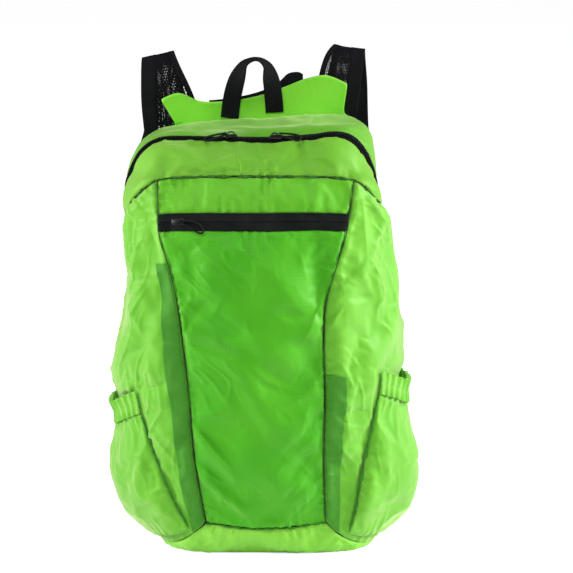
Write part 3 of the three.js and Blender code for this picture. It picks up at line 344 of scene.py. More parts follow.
# %% Places of the zips
MAIN_ZIP_HALF = 0.035
ZIP_COURSE = [
    (0, 0.84), (0.07, 0.73), (0.16, 0.61), (0.28, 0.55), (0.42, 0.51), (0.57, 0.42), (0.72, 0.44),
    (0.84, 0.58), (0.93, 0.72), (1, 0.84),
]
POCKET_ZIP_FROM = 38 / SEAM["left"].length
POCKET_ZIP_TO = 54 / SEAM["left"].length
course = np.array(ZIP_COURSE)
course_slope = np.gradient(course[:, 1], course[:, 0])


def zip_depth(along):
    """A smooth course through the table."""
    along = np.asarray(along, float)
    i = np.clip(np.searchsorted(course[:, 0], along, side="right") - 1, 0, len(course) - 2)
    wide = course[i + 1, 0] - course[i, 0]
    t = (along - course[i, 0]) / wide
    ahead, behind = course_slope[i] * wide, course_slope[i + 1] * wide
    rise = course[i + 1, 1] - course[i, 1]
    bent = (3 * rise - 2 * ahead - behind) * t**2 + (ahead + behind - 2 * rise) * t**3
    return course[i, 1] + ahead * t + bent


def main_zip(along, side):
    return side_point("top", along, zip_depth(along) + (2 * side - 1) * MAIN_ZIP_HALF)


def pocket_zip(along, side):
    return front_point(along, POCKET_ZIP_FROM + side * (POCKET_ZIP_TO - POCKET_ZIP_FROM))


def outward(surface, a, b, away):
    """The direction out of a surface of two shares, on the side that away points to."""
    step = 0.004
    first = surface(np.minimum(a + step, 1), b) - surface(np.maximum(a - step, 0), b)
    second = surface(a, np.minimum(b + step, 1)) - surface(a, np.maximum(b - step, 0))
    normal = unit(np.cross(first, second))
    return normal * np.where((normal * away).sum(-1, keepdims=True) < 0, -1, 1)


print("main zip dips to", round(float(zip_depth(0.5)), 3), "of the way back")

# %% [markdown]
# ## Cord loops
# Each slider is pulled by a short loop of thin cord, which starts and ends in the slider's bridge
# and lies on the cloth. The route repeats the CAD one point by point.

# %% Sliders and the routes of their loops
# Each slider: share along its zip, the way its loop points, and how far the loop hangs sideways.
SLIDERS = {"main_left": (0.42, -1, -8), "main_right": (0.56, 1, 8), "pocket": (0.105, 1, 10)}
HALF_LOOP = [
    (0, -2.1, 0), (3, -2.2, 0), (6, -2.7, -0.1), (10, -3.6, -0.3), (15, -4.5, -0.5), (19.5, -4.7, -0.6),
    (23, -3.4, -0.6),
]
LOOP_REACH = 24.4
HANG_CURVE = 1.3
LOOP_STEPS, LOOP_POINTS = 12, 61
LOOP_ROUTE = HALF_LOOP + [(LOOP_REACH, 0, -0.6)] + [(r, -s, h) for r, s, h in HALF_LOOP[::-1]]
SLIDER_LENGTH, SLIDER_WIDTH, SLIDER_HEIGHT = 13, 7.4, 1.6
BRIDGE_HALF, BRIDGE_HEIGHT = 4, 4.2
BRIDGE_END = BRIDGE_HALF + REST_GAP
CORD_LIFT = SLIDER_HEIGHT + BRIDGE_HEIGHT * 0.5
CORD_DIAMETER = 2
COIL_HEIGHT = 2


def slider_frame(name):
    """Centre of a slider's foot on its zip, with the directions of its pull, up and side."""
    along, points, _ = SLIDERS[name]
    surface = pocket_zip if name == "pocket" else main_zip
    lift = REST_GAP if name == "pocket" else 2 * REST_GAP + COIL_HEIGHT
    away = FORWARD if name == "pocket" else np.array([0, -0.4, 1])
    here = np.array([along])
    normal = outward(surface, here, np.array([0.5]), away)[0]
    across = (surface(here, np.array([1.0])) - surface(here, np.array([0.0])))[0]
    across = unit(across - normal * (across @ normal))
    pull = np.cross(across, normal)
    ahead = (surface(here + 0.02, np.array([0.5])) - surface(here - 0.02, np.array([0.5])))[0]
    pull = pull * np.sign(pull @ ahead) * points
    return surface(here, np.array([0.5]))[0] + normal * lift, pull, normal, np.cross(normal, pull)


def loop_path(name):
    centre, pull, normal, side = slider_frame(name)
    hangs = SLIDERS[name][2]
    rows = []
    for reach, aside, up in LOOP_ROUTE:
        across = aside + hangs * (reach / LOOP_REACH) ** HANG_CURVE
        rows.append(centre + pull * (BRIDGE_END + reach) + normal * (CORD_LIFT + up) - side * across)
    return in_frame(Line(flowing(rows, steps=LOOP_STEPS)).at(np.linspace(0, 1, LOOP_POINTS)))


# %% [markdown]
# ## Mesh helpers
# Cloth starts as a bmesh grid. The grid's points are moved onto a surface, and its UV map is the
# cloth's own length in metres along and across, so a weave keeps its scale where the piece bends.

# %% A grid moved onto a surface, with its own UV in metres
def lay_grid(bm, across_steps, down_steps, surface, tag=0, held=None):
    """surface takes two arrays of shares and gives metres. tag is a face's number, or a function
    of its two shares, and held gives each point's pin, 0 to 1."""
    uv = bm.loops.layers.uv.verify()
    tags = bm.faces.layers.int.get("panel") or bm.faces.layers.int.new("panel")
    pins = bm.verts.layers.float.get("held") or bm.verts.layers.float.new("held")
    made = bmesh.ops.create_grid(bm, x_segments=across_steps, y_segments=down_steps, size=1)["verts"]
    flat = np.array([vert.co.xy for vert in made])
    a, b = (flat[:, 0] + 1) / 2, (flat[:, 1] + 1) / 2
    points = surface(a, b)
    order = np.lexsort((a, b)).reshape(down_steps + 1, across_steps + 1)
    grid = points[order]
    u, v = np.zeros(order.shape), np.zeros(order.shape)
    u[:, 1:] = np.cumsum(np.linalg.norm(np.diff(grid, axis=1), axis=2), axis=1)
    v[1:] = np.cumsum(np.linalg.norm(np.diff(grid, axis=0), axis=2), axis=0)
    u -= u[:, across_steps // 2 : across_steps // 2 + 1]
    unrolled = np.zeros((len(made), 2))
    unrolled[order.ravel()] = np.stack([u.ravel(), v.ravel()], -1)
    pinned = held(a, b, points) if held else np.zeros(len(made))
    places = {}
    for i, vert in enumerate(made):
        vert.co = points[i]
        vert[pins] = pinned[i]
        places[vert] = i
    for face in {face for vert in made for face in vert.link_faces}:
        corners = [places[vert] for vert in face.verts]
        face[tags] = tag(a[corners].mean(), b[corners].mean()) if callable(tag) else tag
        for loop, i in zip(face.loops, corners):
            loop[uv].uv = unrolled[i]
    return made


def finish_piece(name, bm, material, nodes=()):
    """Makes the object, smooth all over, attaches it to the root and hides the CAD nodes it stands for."""
    mesh = bpy.data.meshes.new(name)
    bm.to_mesh(mesh)
    bm.free()
    mesh.materials.append(material)
    mesh.shade_smooth()
    piece = bpy.data.objects.new(name, mesh)
    bpy.context.scene.collection.objects.link(piece)
    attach(piece, "root")
    if nodes:
        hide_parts(*nodes)
    return piece


def thicken(piece, thick, offset=-1.0, bevel=0.0, subdivide=0):
    """Modifiers that finish a sheet: subdivision, then thickness, then rounded edges."""
    if subdivide:
        more = piece.modifiers.new("subdivision", "SUBSURF")
        more.levels = subdivide
        more.render_levels = subdivide
    solid = piece.modifiers.new("thickness", "SOLIDIFY")
    solid.thickness = thick * 0.001
    solid.offset = offset
    solid.use_even_offset = False
    if bevel:
        rounded = piece.modifiers.new("rounded edges", "BEVEL")
        rounded.width = bevel * 0.001
        rounded.segments = 2
        rounded.limit_method = "ANGLE"
        rounded.angle_limit = math.radians(50)
    return piece


def sheet_piece(name, steps, surfaces, slot, material, nodes, thick, **finish):
    """A piece of one or more grids laid on surfaces, with its faces turned the same way."""
    bm = bmesh.new()
    for surface in surfaces:
        lay_grid(bm, *steps, surface)
    bmesh.ops.recalc_face_normals(bm, faces=bm.faces)
    return thicken(finish_piece(name, bm, material, nodes), thick, offset=0.0, **finish)


def round_edges(bm, width, segments):
    """Turns the faces of a block outwards and rounds its sharp edges."""
    bmesh.ops.recalc_face_normals(bm, faces=bm.faces)
    sharp = [edge for edge in bm.edges if edge.calc_face_angle(0) > math.radians(40)]
    bmesh.ops.bevel(bm, geom=sharp, offset=width, segments=segments, profile=0.5, affect="EDGES", material=-1)


# %% A round tube along a path
def lay_tube(bm, path, radius, ups, sides=8, wide=1.0):
    """path and ups are arrays in metres; wide stretches the section across."""
    path = np.asarray(path)
    run = unit(np.gradient(path, axis=0))
    side = unit(np.cross(run, ups))
    up = np.cross(side, run)
    radii = np.broadcast_to(np.asarray(radius, float), len(path))

    def surface(a, b):
        row = np.rint(b * (len(path) - 1)).astype(int)
        angle = 2 * math.pi * a
        out = side[row] * (wide * np.cos(angle))[:, None] + up[row] * np.sin(angle)[:, None]
        return path[row] + out * radii[row][:, None]

    made = lay_grid(bm, sides, len(path) - 1, surface)
    bmesh.ops.remove_doubles(bm, verts=made, dist=1e-6)
    kept = [vert for vert in made if vert.is_valid]
    open_edges = {edge for vert in kept for edge in vert.link_edges if edge.is_boundary}
    bmesh.ops.holes_fill(bm, edges=list(open_edges), sides=0)


# %% [markdown]
# ## Finishes
# Thin nylon ripstop has a square grid of thicker threads and a satin gloss. Tape and webbing are
# ribbed. These patterns read each piece's own UV map in metres, so one set of node groups serves
# every cloth, with its own scale and strength.

# %% Node helpers
def socket_group(name, inputs, outputs):
    """A shader node group with named inputs and outputs."""
    group = bpy.data.node_groups.new(name, "ShaderNodeTree")
    for label, kind, value in inputs:
        made = group.interface.new_socket(label, in_out="INPUT", socket_type=kind)
        if value is not None:
            made.default_value = value
    for label, kind in outputs:
        group.interface.new_socket(label, in_out="OUTPUT", socket_type=kind)
    return group, group.nodes.new("NodeGroupInput"), group.nodes.new("NodeGroupOutput")


def wire(tree, kind, *sources, **settings):
    """Adds a node, gives it settings and feeds its inputs in order with sockets or values."""
    made = tree.nodes.new(kind)
    for key, value in settings.items():
        setattr(made, key, value)
    for socket, source in zip(made.inputs, sources):
        if isinstance(source, bpy.types.NodeSocket):
            tree.links.new(source, socket)
        elif source is not None:
            socket.default_value = source
    return made


def maths(tree, operation, *sources):
    return wire(tree, "ShaderNodeMath", *sources, operation=operation).outputs[0]


# %% Ripstop grid: a mask of its thicker threads
ripstop_grid, given, result = socket_group(
    "ripstop grid",
    [("Vector", "NodeSocketVector", None), ("Cell", "NodeSocketFloat", 0.0035),
     ("Thread", "NodeSocketFloat", 0.16)],
    [("Mask", "NodeSocketFloat")],
)
split = wire(ripstop_grid, "ShaderNodeSeparateXYZ", given.outputs["Vector"])
masks = []
for axis in (0, 1):
    cells = maths(ripstop_grid, "DIVIDE", split.outputs[axis], given.outputs["Cell"])
    within = maths(ripstop_grid, "FRACT", cells)
    masks.append(maths(ripstop_grid, "LESS_THAN", within, given.outputs["Thread"]))
ripstop_grid.links.new(maths(ripstop_grid, "MAXIMUM", *masks), result.inputs["Mask"])

# %% Ribs: the height of woven ribs, and threads across them
woven_ribs, given, result = socket_group(
    "woven ribs",
    [("Vector", "NodeSocketVector", None), ("Rib", "NodeSocketFloat", 0.0008),
     ("Slant", "NodeSocketFloat", 0.0)],
    [("Height", "NodeSocketFloat")],
)
split = wire(woven_ribs, "ShaderNodeSeparateXYZ", given.outputs["Vector"])
slanted = maths(woven_ribs, "MULTIPLY", split.outputs[0], given.outputs["Slant"])
leaned = maths(woven_ribs, "ADD", split.outputs[1], slanted)
turns = maths(woven_ribs, "MULTIPLY", maths(woven_ribs, "DIVIDE", leaned, given.outputs["Rib"]), 2 * math.pi)
rib = maths(woven_ribs, "SINE", turns)
crossing = maths(woven_ribs, "DIVIDE", split.outputs[0], given.outputs["Rib"])
cross = maths(woven_ribs, "MULTIPLY", crossing, math.pi)
woven = maths(woven_ribs, "MULTIPLY_ADD", maths(woven_ribs, "SINE", cross), 0.35, rib)
woven_ribs.links.new(maths(woven_ribs, "MULTIPLY_ADD", woven, 0.37, 0.5), result.inputs["Height"])

# %% Handling: soft colour drift
handling, given, result = socket_group(
    "handling",
    [("Vector", "NodeSocketVector", None), ("Base", "NodeSocketColor", (1, 1, 1, 1)),
     ("Worn", "NodeSocketColor", (1, 1, 1, 1)), ("Scale", "NodeSocketFloat", 9.0)],
    [("Color", "NodeSocketColor"), ("Drift", "NodeSocketFloat")],
)
drift = wire(handling, "ShaderNodeTexNoise", given.outputs["Vector"])
handling.links.new(given.outputs["Scale"], drift.inputs["Scale"])
drift.inputs["Detail"].default_value = 4
band = wire(handling, "ShaderNodeMapRange", drift.outputs[0], 0.38, 0.66)
mixed = wire(handling, "ShaderNodeMix", data_type="RGBA")
handling.links.new(band.outputs[0], mixed.inputs[0])
handling.links.new(given.outputs["Base"], mixed.inputs[6])
handling.links.new(given.outputs["Worn"], mixed.inputs[7])
handling.links.new(mixed.outputs[2], result.inputs["Color"])
handling.links.new(band.outputs[0], result.inputs["Drift"])


# %% Principled material and the two cloth finishes
RIPSTOP_CELL = 0.0035
RIB_DEPTH = 0.0004


def plain_shader(name, roughness, **sockets):
    """A material with one Principled shader whose uniform values are on its own sockets."""
    material = bpy.data.materials.new(name)
    material.use_nodes = True
    shader = material.node_tree.nodes["Principled BSDF"]
    shader.inputs["Roughness"].default_value = roughness
    for label, value in sockets.items():
        shader.inputs[label.replace("_", " ")].default_value = value
    return material, material.node_tree, shader


def placed(tree, group, **values):
    made = tree.nodes.new("ShaderNodeGroup")
    made.node_tree = group
    for label, value in values.items():
        if isinstance(value, bpy.types.NodeSocket):
            tree.links.new(value, made.inputs[label])
        else:
            made.inputs[label].default_value = value
    return made


def add_bump(tree, shader, height, strength, distance):
    """Feeds the shader's normal with a bump of a height."""
    bump = wire(tree, "ShaderNodeBump")
    bump.inputs["Strength"].default_value = strength
    bump.inputs["Distance"].default_value = distance
    tree.links.new(height, bump.inputs["Height"])
    tree.links.new(bump.outputs[0], shader.inputs["Normal"])


def ripstop(name, base, light, thread, sheen=0.5, creased=0.28):
    """Thin coated nylon: colour drift, a darker square grid, satin gloss and fine creases. The
    sheen makes it paler where it turns away, as thin nylon is when light comes through it."""
    material, tree, shader = plain_shader(
        name, 0.5, Sheen_Weight=sheen, Sheen_Roughness=0.5, Sheen_Tint=(0.85, 1.0, 0.5, 1),
        Specular_IOR_Level=0.35, Specular_Tint=(0.85, 1.0, 0.7, 1),
    )
    uv = tree.nodes.new("ShaderNodeTexCoord").outputs["UV"]
    soft = placed(tree, handling, Vector=uv, Base=(*base, 1), Worn=(*light, 1), Scale=7.0)
    grid = placed(tree, ripstop_grid, Vector=uv, Cell=RIPSTOP_CELL, Thread=0.17)
    tint = wire(tree, "ShaderNodeMix", data_type="RGBA")
    tree.links.new(maths(tree, "MULTIPLY", grid.outputs["Mask"], 0.24), tint.inputs[0])
    tree.links.new(soft.outputs["Color"], tint.inputs[6])
    tint.inputs[7].default_value = (*thread, 1)
    tree.links.new(tint.outputs[2], shader.inputs["Base Color"])
    crease = wire(tree, "ShaderNodeTexNoise", uv, noise_type="RIDGED_MULTIFRACTAL")
    crease.inputs["Scale"].default_value = 24
    crease.inputs["Detail"].default_value = 4
    crease.inputs["Distortion"].default_value = 0.6
    height = maths(tree, "MULTIPLY_ADD", grid.outputs["Mask"], 0.05, crease.outputs[0])
    add_bump(tree, shader, height, creased, 0.002)
    return material


def ribbed(name, dark, light, rib, slant=0.0, **sockets):
    """Narrow woven goods: ribs across the tape, with a painted highlight on their crests and painted shade
    between them.
    """
    material, tree, shader = plain_shader(name, 0.75, **sockets)
    uv = tree.nodes.new("ShaderNodeTexCoord").outputs["UV"]
    ribs = placed(tree, woven_ribs, Vector=uv, Rib=rib, Slant=slant)
    soft = placed(tree, handling, Vector=uv, Base=(0.35, 0.35, 0.35, 1), Worn=(1, 1, 1, 1), Scale=30.0)
    # The rib height mixes the grooves' painted shade with the crests' painted highlight.
    tint = wire(tree, "ShaderNodeMix", data_type="RGBA")
    shade = maths(tree, "MULTIPLY", ribs.outputs["Height"], soft.outputs["Color"])
    tree.links.new(shade, tint.inputs[0])
    tint.inputs[6].default_value = (*dark, 1)
    tint.inputs[7].default_value = (*light, 1)
    tree.links.new(tint.outputs[2], shader.inputs["Base Color"])
    add_bump(tree, shader, ribs.outputs["Height"], 0.7, RIB_DEPTH)
    return material


# %% The cloths: base, worn and thread colours, then the sheen. They are one green cloth, lightened and darkened panel by panel as painted light and shade
# The front, darkened: painted shade.
FRONT_GREEN_SHADED = ripstop(
    "ripstop, bright green", (0.048, 0.40, 0.002), (0.085, 0.47, 0.005), (0.036, 0.33, 0.001), 0.35,
)
# The front above the pocket zip, lighter: painted light from above.
UPPER_GREEN_LIT = ripstop(
    "ripstop, above the pocket", (0.105, 0.47, 0.010), (0.14, 0.53, 0.015), (0.09, 0.40, 0.007), 0.4,
)
# Sides and pockets, paler and whiter: painted sheen where they turn towards the side lamps.
SIDE_GREEN_PAINTED_SHEEN = ripstop(
    "ripstop, sides and pockets", (0.115, 0.47, 0.014), (0.175, 0.56, 0.03), (0.09, 0.40, 0.01), 0.9,
)
# The top before the main zip, paler: painted light from above.
PALE_GREEN_LIT = ripstop(
    "ripstop, before the main zip", (0.14, 0.44, 0.02), (0.18, 0.50, 0.032), (0.11, 0.38, 0.015), 0.3,
)
# The top behind the main zip, darker than before it: painted shade.
REAR_GREEN_SHADED = ripstop(
    "ripstop, behind the main zip", (0.095, 0.37, 0.012), (0.13, 0.43, 0.02), (0.08, 0.32, 0.01), 0.3,
)
# The base, lighter: painted light where the lamps reach it less.
BASE_GREEN_LIT = ripstop("ripstop, base", (0.24, 0.67, 0.05), (0.29, 0.73, 0.07), (0.20, 0.58, 0.04))
# The back and yoke, lighter: painted light where the lamps reach it less.
YOKE_GREEN_LIT = ripstop(
    "ripstop, back and yoke", (0.24, 0.80, 0.04), (0.30, 0.85, 0.055), (0.18, 0.68, 0.03), creased=0.6,
)
# Narrow goods: dark and light of the ribs, which are painted shade in the grooves and a painted
# highlight on the crests, and the ribs' width in metres.
TAPE_GREEN = ribbed("green grosgrain", (0.045, 0.27, 0.008), (0.085, 0.39, 0.018), 0.0012)
# Rolled seams: a near-black green as painted shadow of their folds.
SEAM_SHADOW_GREEN = ribbed("rolled seam", (0.014, 0.10, 0.004), (0.04, 0.23, 0.010), 0.0009)
# Pocket edge and base seam rolls: a darker green as painted shadow line.
EDGE_SHADOW_GREEN = ribbed("shaded pocket edge", (0.02, 0.19, 0.005), (0.05, 0.34, 0.012), 0.0009)
BLACK, DULL = (0.004, 0.004, 0.005), 0.08
BLACK_WEB = ribbed("black webbing", BLACK, (0.014, 0.014, 0.016), 0.0016, 0.8, Specular_IOR_Level=DULL)
BLACK_NET = ribbed("black knit", BLACK, (0.012, 0.012, 0.014), 0.0009, Specular_IOR_Level=DULL)
ZIP_WEAVE = ribbed("woven zip tape", BLACK, (0.012, 0.012, 0.014), 0.0007, Specular_IOR_Level=DULL)
CORD_BLACK = ribbed("black cord", BLACK, (0.016, 0.016, 0.018), 0.001, 1.2, Specular_IOR_Level=0.2)
print("materials", len(bpy.data.materials))

# %% Coated tape, teeth, plastic and metal
def cast(name, colour, light, roughness, scale, depth, **sockets):
    """Moulded or coated goods: a fine grain, and a slightly lighter drift."""
    material, tree, shader = plain_shader(name, roughness, **sockets)
    place = tree.nodes.new("ShaderNodeTexCoord").outputs["Object"]
    soft = placed(tree, handling, Vector=place, Base=(*colour, 1), Worn=(*light, 1), Scale=60.0)
    tree.links.new(soft.outputs["Color"], shader.inputs["Base Color"])
    grain = wire(tree, "ShaderNodeTexNoise", place)
    grain.inputs["Scale"].default_value = scale
    add_bump(tree, shader, grain.outputs[0], 0.3, depth)
    return material


COATED = cast(
    "coated zip tape", (0.004, 0.005, 0.005), (0.008, 0.009, 0.009), 0.6, 900, 0.0002, Specular_IOR_Level=0.12,
)
TEETH = cast(
    "moulded zip teeth", (0.005, 0.005, 0.006), (0.012, 0.012, 0.014), 0.45, 700, 0.0001,
    Specular_IOR_Level=0.15,
)
PLASTIC = cast("black buckle plastic", (0.010, 0.010, 0.011), (0.02, 0.02, 0.022), 0.38, 1200, 0.0001)
METAL = cast(
    "painted slider metal", (0.012, 0.012, 0.014), (0.03, 0.03, 0.034), 0.4, 500, 0.00005, Metallic=0.4,
)

# %% [markdown]
# ## Cords first
# The loops are tubes of braided cord. They come before the cloth, because their room in the frame
# decides whether the CAD has to change.

# %% Three cord loops
for name in SLIDERS:
    path = loop_path(name)
    ups = np.broadcast_to(slider_frame(name)[2], path.shape)
    bm = bmesh.new()
    lay_tube(bm, path, CORD_DIAMETER / 2000, ups, sides=10)
    cord = finish_piece(f"cord_loop_{name}", bm, CORD_BLACK, [f"pull_cord_{name}"])

# %% [markdown]
# ## One skin for the whole bag
# The front, the sides, the top and the base are sewn into one bag, so they are made as one skin
# whose grids share their seam points. The pockets and the back panel are sheets of their own in
# the same mesh. Every face keeps a number, to cut the skin into its pieces later.

# %% Steps that the neighbouring grids share
FRONT_UPPER, FRONT_LOWER, LEFT, RIGHT, TOP_FRONT, TOP_REAR, BASE = range(7)
BACK, POCKET_LEFT, POCKET_RIGHT, BAND = range(7, 11)
ACROSS = 58
POCKET_STEPS = (48, 44)
BACK_STEPS = (44, 72)
DOWN_CUTS = [0, 12, 17, 118]
DEPTH_CUTS = [0, 40, 43, 54]


def down_share(share):
    return np.interp(share * DOWN_CUTS[-1], DOWN_CUTS, [0, POCKET_ZIP_FROM, POCKET_ZIP_TO, 1])


def depth_share(share, along):
    """The zip's tape keeps its width, and the steps before and behind it share what is left."""
    start, end = zip_depth(along) - MAIN_ZIP_HALF, zip_depth(along) + MAIN_ZIP_HALF
    _, low, high, last = DEPTH_CUTS
    step = share * last
    before = step / low * start
    within = start + (step - low) / (high - low) * (end - start)
    behind = end + (step - high) / (last - high) * (1 - end)
    return np.where(step <= low, before, np.where(step <= high, within, behind))


# %% Pockets: height of the elastic, front edge, foot edge, mouth and belly
POCKETS = {"left": (0.346, 0.36, 0.13, 6, 20), "right": (0.393, 0.38, 0.19, 8, 24)}
POCKET_BACK = 0.97
POCKET_FOOT = 0.985
HEM_HEIGHT = 24
HEM_RISE = 22
CLOTH_LIFT = 0.9
GATHERS, GATHER_HEIGHT = 11, 1.1
HALVINGS = 18


def along_at_height(side, depth, height):
    high, low = np.zeros_like(depth), np.ones_like(depth)
    for _ in range(HALVINGS):
        middle = (high + low) / 2
        above = side_point(side, middle, depth)[..., 2] > height
        high, low = np.where(above, middle, high), np.where(above, low, middle)
    return high


def off_side(side, along, depth, lift):
    away = np.array([-1.0 if side == "left" else 1.0, 0, -0.3])
    place = side_point(side, along, depth)
    normal = outward(lambda a, b: side_point(side, a, b), along, depth, away)
    return place + normal * np.asarray(lift)[..., None]


def pocket_cloth(side):
    hem, front, foot, mouth, swell = POCKETS[side]
    hem_foot = hem * BAG_HEIGHT - HEM_HEIGHT

    def surface(across, up):
        down = 1 - up
        depth = (front + (foot - front) * down) * (1 - across) + POCKET_BACK * across
        start = along_at_height(side, depth, hem_foot + HEM_RISE * np.maximum(1 - 2 * across, 0))
        along = start + (POCKET_FOOT - start) * down
        opened = np.clip(np.sin(math.pi * across), 0, 1) ** 0.6
        belly = mouth + (swell - mouth) * smooth(down, 0, 0.45)
        lift = opened * belly * np.sqrt(1 - smooth(down, 0.6, 1))
        turn = 2 * math.pi * (GATHERS * across + 0.5 * np.sin(7 * across) + 0.5 * down)
        gathers = (np.sin(turn) - 0.4 * np.cos(2 * turn)) * opened * GATHER_HEIGHT
        lift = lift + gathers * (1 - smooth(down, 0, 0.42)) * smooth(down, 0, 0.04)
        return in_frame(off_side(side, along, depth, CLOTH_LIFT + CLOTH + lift))

    return surface


# %% The skin, with pins along every seam and zip
NEAR = 0.4
YOKE_HELD = 0.43
BAG_CENTRE = Vector((-0.007, -0.012, 0.22))


def at_edge(share, steps):
    """True for the points of a grid's two outer rows."""
    return (share < NEAR / steps) | (share > 1 - NEAR / steps)


def front_tag(a, b):
    step = b * DOWN_CUTS[-1]
    if DOWN_CUTS[1] < step < DOWN_CUTS[2]:
        return BAND
    return FRONT_UPPER if step < DOWN_CUTS[1] else FRONT_LOWER


def top_tag(a, b):
    step = b * DEPTH_CUTS[-1]
    if DEPTH_CUTS[1] < step < DEPTH_CUTS[2]:
        return BAND
    return TOP_FRONT if step < DEPTH_CUTS[1] else TOP_REAR


def front_held(a, b, points):
    band = (b > (DOWN_CUTS[1] - NEAR) / DOWN_CUTS[-1]) & (b < (DOWN_CUTS[2] + NEAR) / DOWN_CUTS[-1])
    return (at_edge(a, ACROSS) | at_edge(b, DOWN_CUTS[-1]) | band).astype(float)


def side_held(side):
    hem, front, foot, _, _ = POCKETS[side]

    def held(depth_step, down, points):
        height = points[:, 2] * 1000
        hem_foot = hem * BAG_HEIGHT - HEM_HEIGHT
        depth = depth_share(depth_step, np.zeros_like(down))
        below = np.clip(1 - height / hem_foot, 0, 1)
        rise = HEM_HEIGHT + HEM_RISE * np.clip(1 - 2 * (depth - front) / (POCKET_BACK - front), 0, 1)
        covered = (height < hem_foot + rise + 4) & (depth > front + (foot - front) * below - 0.05)
        return (at_edge(depth_step, DEPTH_CUTS[-1]) | at_edge(down, DOWN_CUTS[-1]) | covered).astype(float)

    return held


def top_held(a, b, points):
    step = b * DEPTH_CUTS[-1]
    band = (step > DEPTH_CUTS[1] - NEAR) & (step < DEPTH_CUTS[2] + NEAR)
    return (at_edge(a, ACROSS) | at_edge(b, DEPTH_CUTS[-1]) | band).astype(float)


def base_held(a, b, points):
    return (at_edge(a, ACROSS) | at_edge(b, DEPTH_CUTS[-1]) | (points[:, 2] < 0.001)).astype(float)


def pocket_held(a, b, points):
    return (at_edge(a, POCKET_STEPS[0]) | at_edge(b, POCKET_STEPS[1])).astype(float)


def back_held(a, b, points):
    edges = at_edge(a, BACK_STEPS[0]) | at_edge(b, BACK_STEPS[1])
    return (edges | (points[:, 2] > YOKE_HELD)).astype(float)


bm = bmesh.new()
lay_grid(bm, ACROSS, DOWN_CUTS[-1], lambda a, b: in_frame(front_point(a, down_share(b))), front_tag, front_held)
for side, tag in (("left", LEFT), ("right", RIGHT)):
    lay_grid(
        bm, DEPTH_CUTS[-1], DOWN_CUTS[-1],
        lambda a, b, side=side: in_frame(side_point(side, down_share(b), depth_share(a, np.zeros_like(b)))),
        tag, side_held(side),
    )
lay_grid(
    bm, ACROSS, DEPTH_CUTS[-1],
    lambda a, b: in_frame(side_point("top", a, depth_share(b, a))), top_tag, top_held,
)
lay_grid(
    bm, ACROSS, DEPTH_CUTS[-1],
    lambda a, b: in_frame(side_point("bottom", a, depth_share(b, np.zeros_like(a)))), BASE, base_held,
)
before = len(bm.verts)
bmesh.ops.remove_doubles(bm, verts=bm.verts, dist=0.0002)
print("skin points", before, "sewn into", len(bm.verts))
for side, tag in (("left", POCKET_LEFT), ("right", POCKET_RIGHT)):
    lay_grid(bm, *POCKET_STEPS, pocket_cloth(side), tag, pocket_held)
lay_grid(bm, *BACK_STEPS, lambda a, b: in_frame(back_point(a, 1 - b)), BACK, back_held)
tags = bm.faces.layers.int["panel"]
bmesh.ops.recalc_face_normals(bm, faces=bm.faces)
sewn = (FRONT_UPPER, FRONT_LOWER, LEFT, RIGHT, TOP_FRONT, TOP_REAR, BASE, BAND)
for group in (sewn, (BACK,), (POCKET_LEFT,), (POCKET_RIGHT,)):
    faces = [face for face in bm.faces if face[tags] in group]
    outwards = sum((face.calc_center_median() - BAG_CENTRE).dot(face.normal) for face in faces)
    if outwards < 0:
        bmesh.ops.reverse_faces(bm, faces=faces)
skin_mesh = bpy.data.meshes.new("skin")
bm.to_mesh(skin_mesh)
bm.free()

# %% [markdown]
# ## Letting the cloth settle
# Sewing gathers cloth: there is always a little more of it than the seam is long. The cloth grows
# by a few percent between pinned seams while air presses from inside, and it buckles into the
# small creases that run away from seams. The move of each point is capped, so the bag keeps its
# shape.

# %% Cloth simulation, applied
GROWTH = 0.033
MOVE_CAP = 6.0
FRAMES = 18


def settle(mesh):
    """Runs the cloth on a mesh, and gives the points that it moved to, in metres."""
    cloth_object = bpy.data.objects.new("skin_at_work", mesh)
    scene = bpy.context.scene
    scene.collection.objects.link(cloth_object)
    held = np.zeros(len(mesh.vertices))
    mesh.attributes["held"].data.foreach_get("value", held)
    group = cloth_object.vertex_groups.new(name="held")
    group.add([int(i) for i in np.flatnonzero(held > 0.5)], 1.0, "REPLACE")
    cloth = cloth_object.modifiers.new("cloth", "CLOTH")
    settings = cloth.settings
    settings.vertex_group_mass = "held"
    settings.quality = 6
    settings.mass = 0.15
    settings.tension_stiffness = 25
    settings.compression_stiffness = 25
    settings.shear_stiffness = 6
    settings.bending_stiffness = 0.08
    settings.air_damping = 2
    settings.shrink_min = -GROWTH
    settings.use_pressure = True
    settings.uniform_pressure_force = 0.6
    settings.effector_weights.gravity = 0
    cloth.collision_settings.use_collision = False
    cloth.point_cache.frame_start = 1
    cloth.point_cache.frame_end = FRAMES
    for step in range(1, FRAMES + 1):
        scene.frame_set(step)
    settled = cloth_object.evaluated_get(bpy.context.evaluated_depsgraph_get()).to_mesh()
    points = np.zeros(3 * len(mesh.vertices))
    settled.vertices.foreach_get("co", points)
    cloth_object.modifiers.remove(cloth)
    bpy.data.objects.remove(cloth_object)
    scene.frame_set(1)
    return points.reshape(-1, 3)


rest = np.zeros(3 * len(skin_mesh.vertices))
skin_mesh.vertices.foreach_get("co", rest)
rest = rest.reshape(-1, 3)
moved = (settle(skin_mesh) - rest) * 1000
reach = np.linalg.norm(moved, axis=1, keepdims=True)
moved *= np.tanh(reach / MOVE_CAP) * MOVE_CAP / np.maximum(reach, 1e-9)
final = rest + moved / 1000
final[:, 2] = np.maximum(final[:, 2], 0.0)
skin_mesh.vertices.foreach_set("co", final.ravel())
print("cloth moved", round(float(reach.mean()), 2), "mm on average, at most", round(float(reach.max()), 2))
skin_mesh.update()

# %% [markdown]
# ## Cutting the skin into its panels
# Each panel is copied out of the skin, and its border is turned in a little. That sinks the seams
# between panels, which is what makes a sewn bag look sewn.

# %% Puckers along a panel's seams
PUCKER_WAVE = 11.0


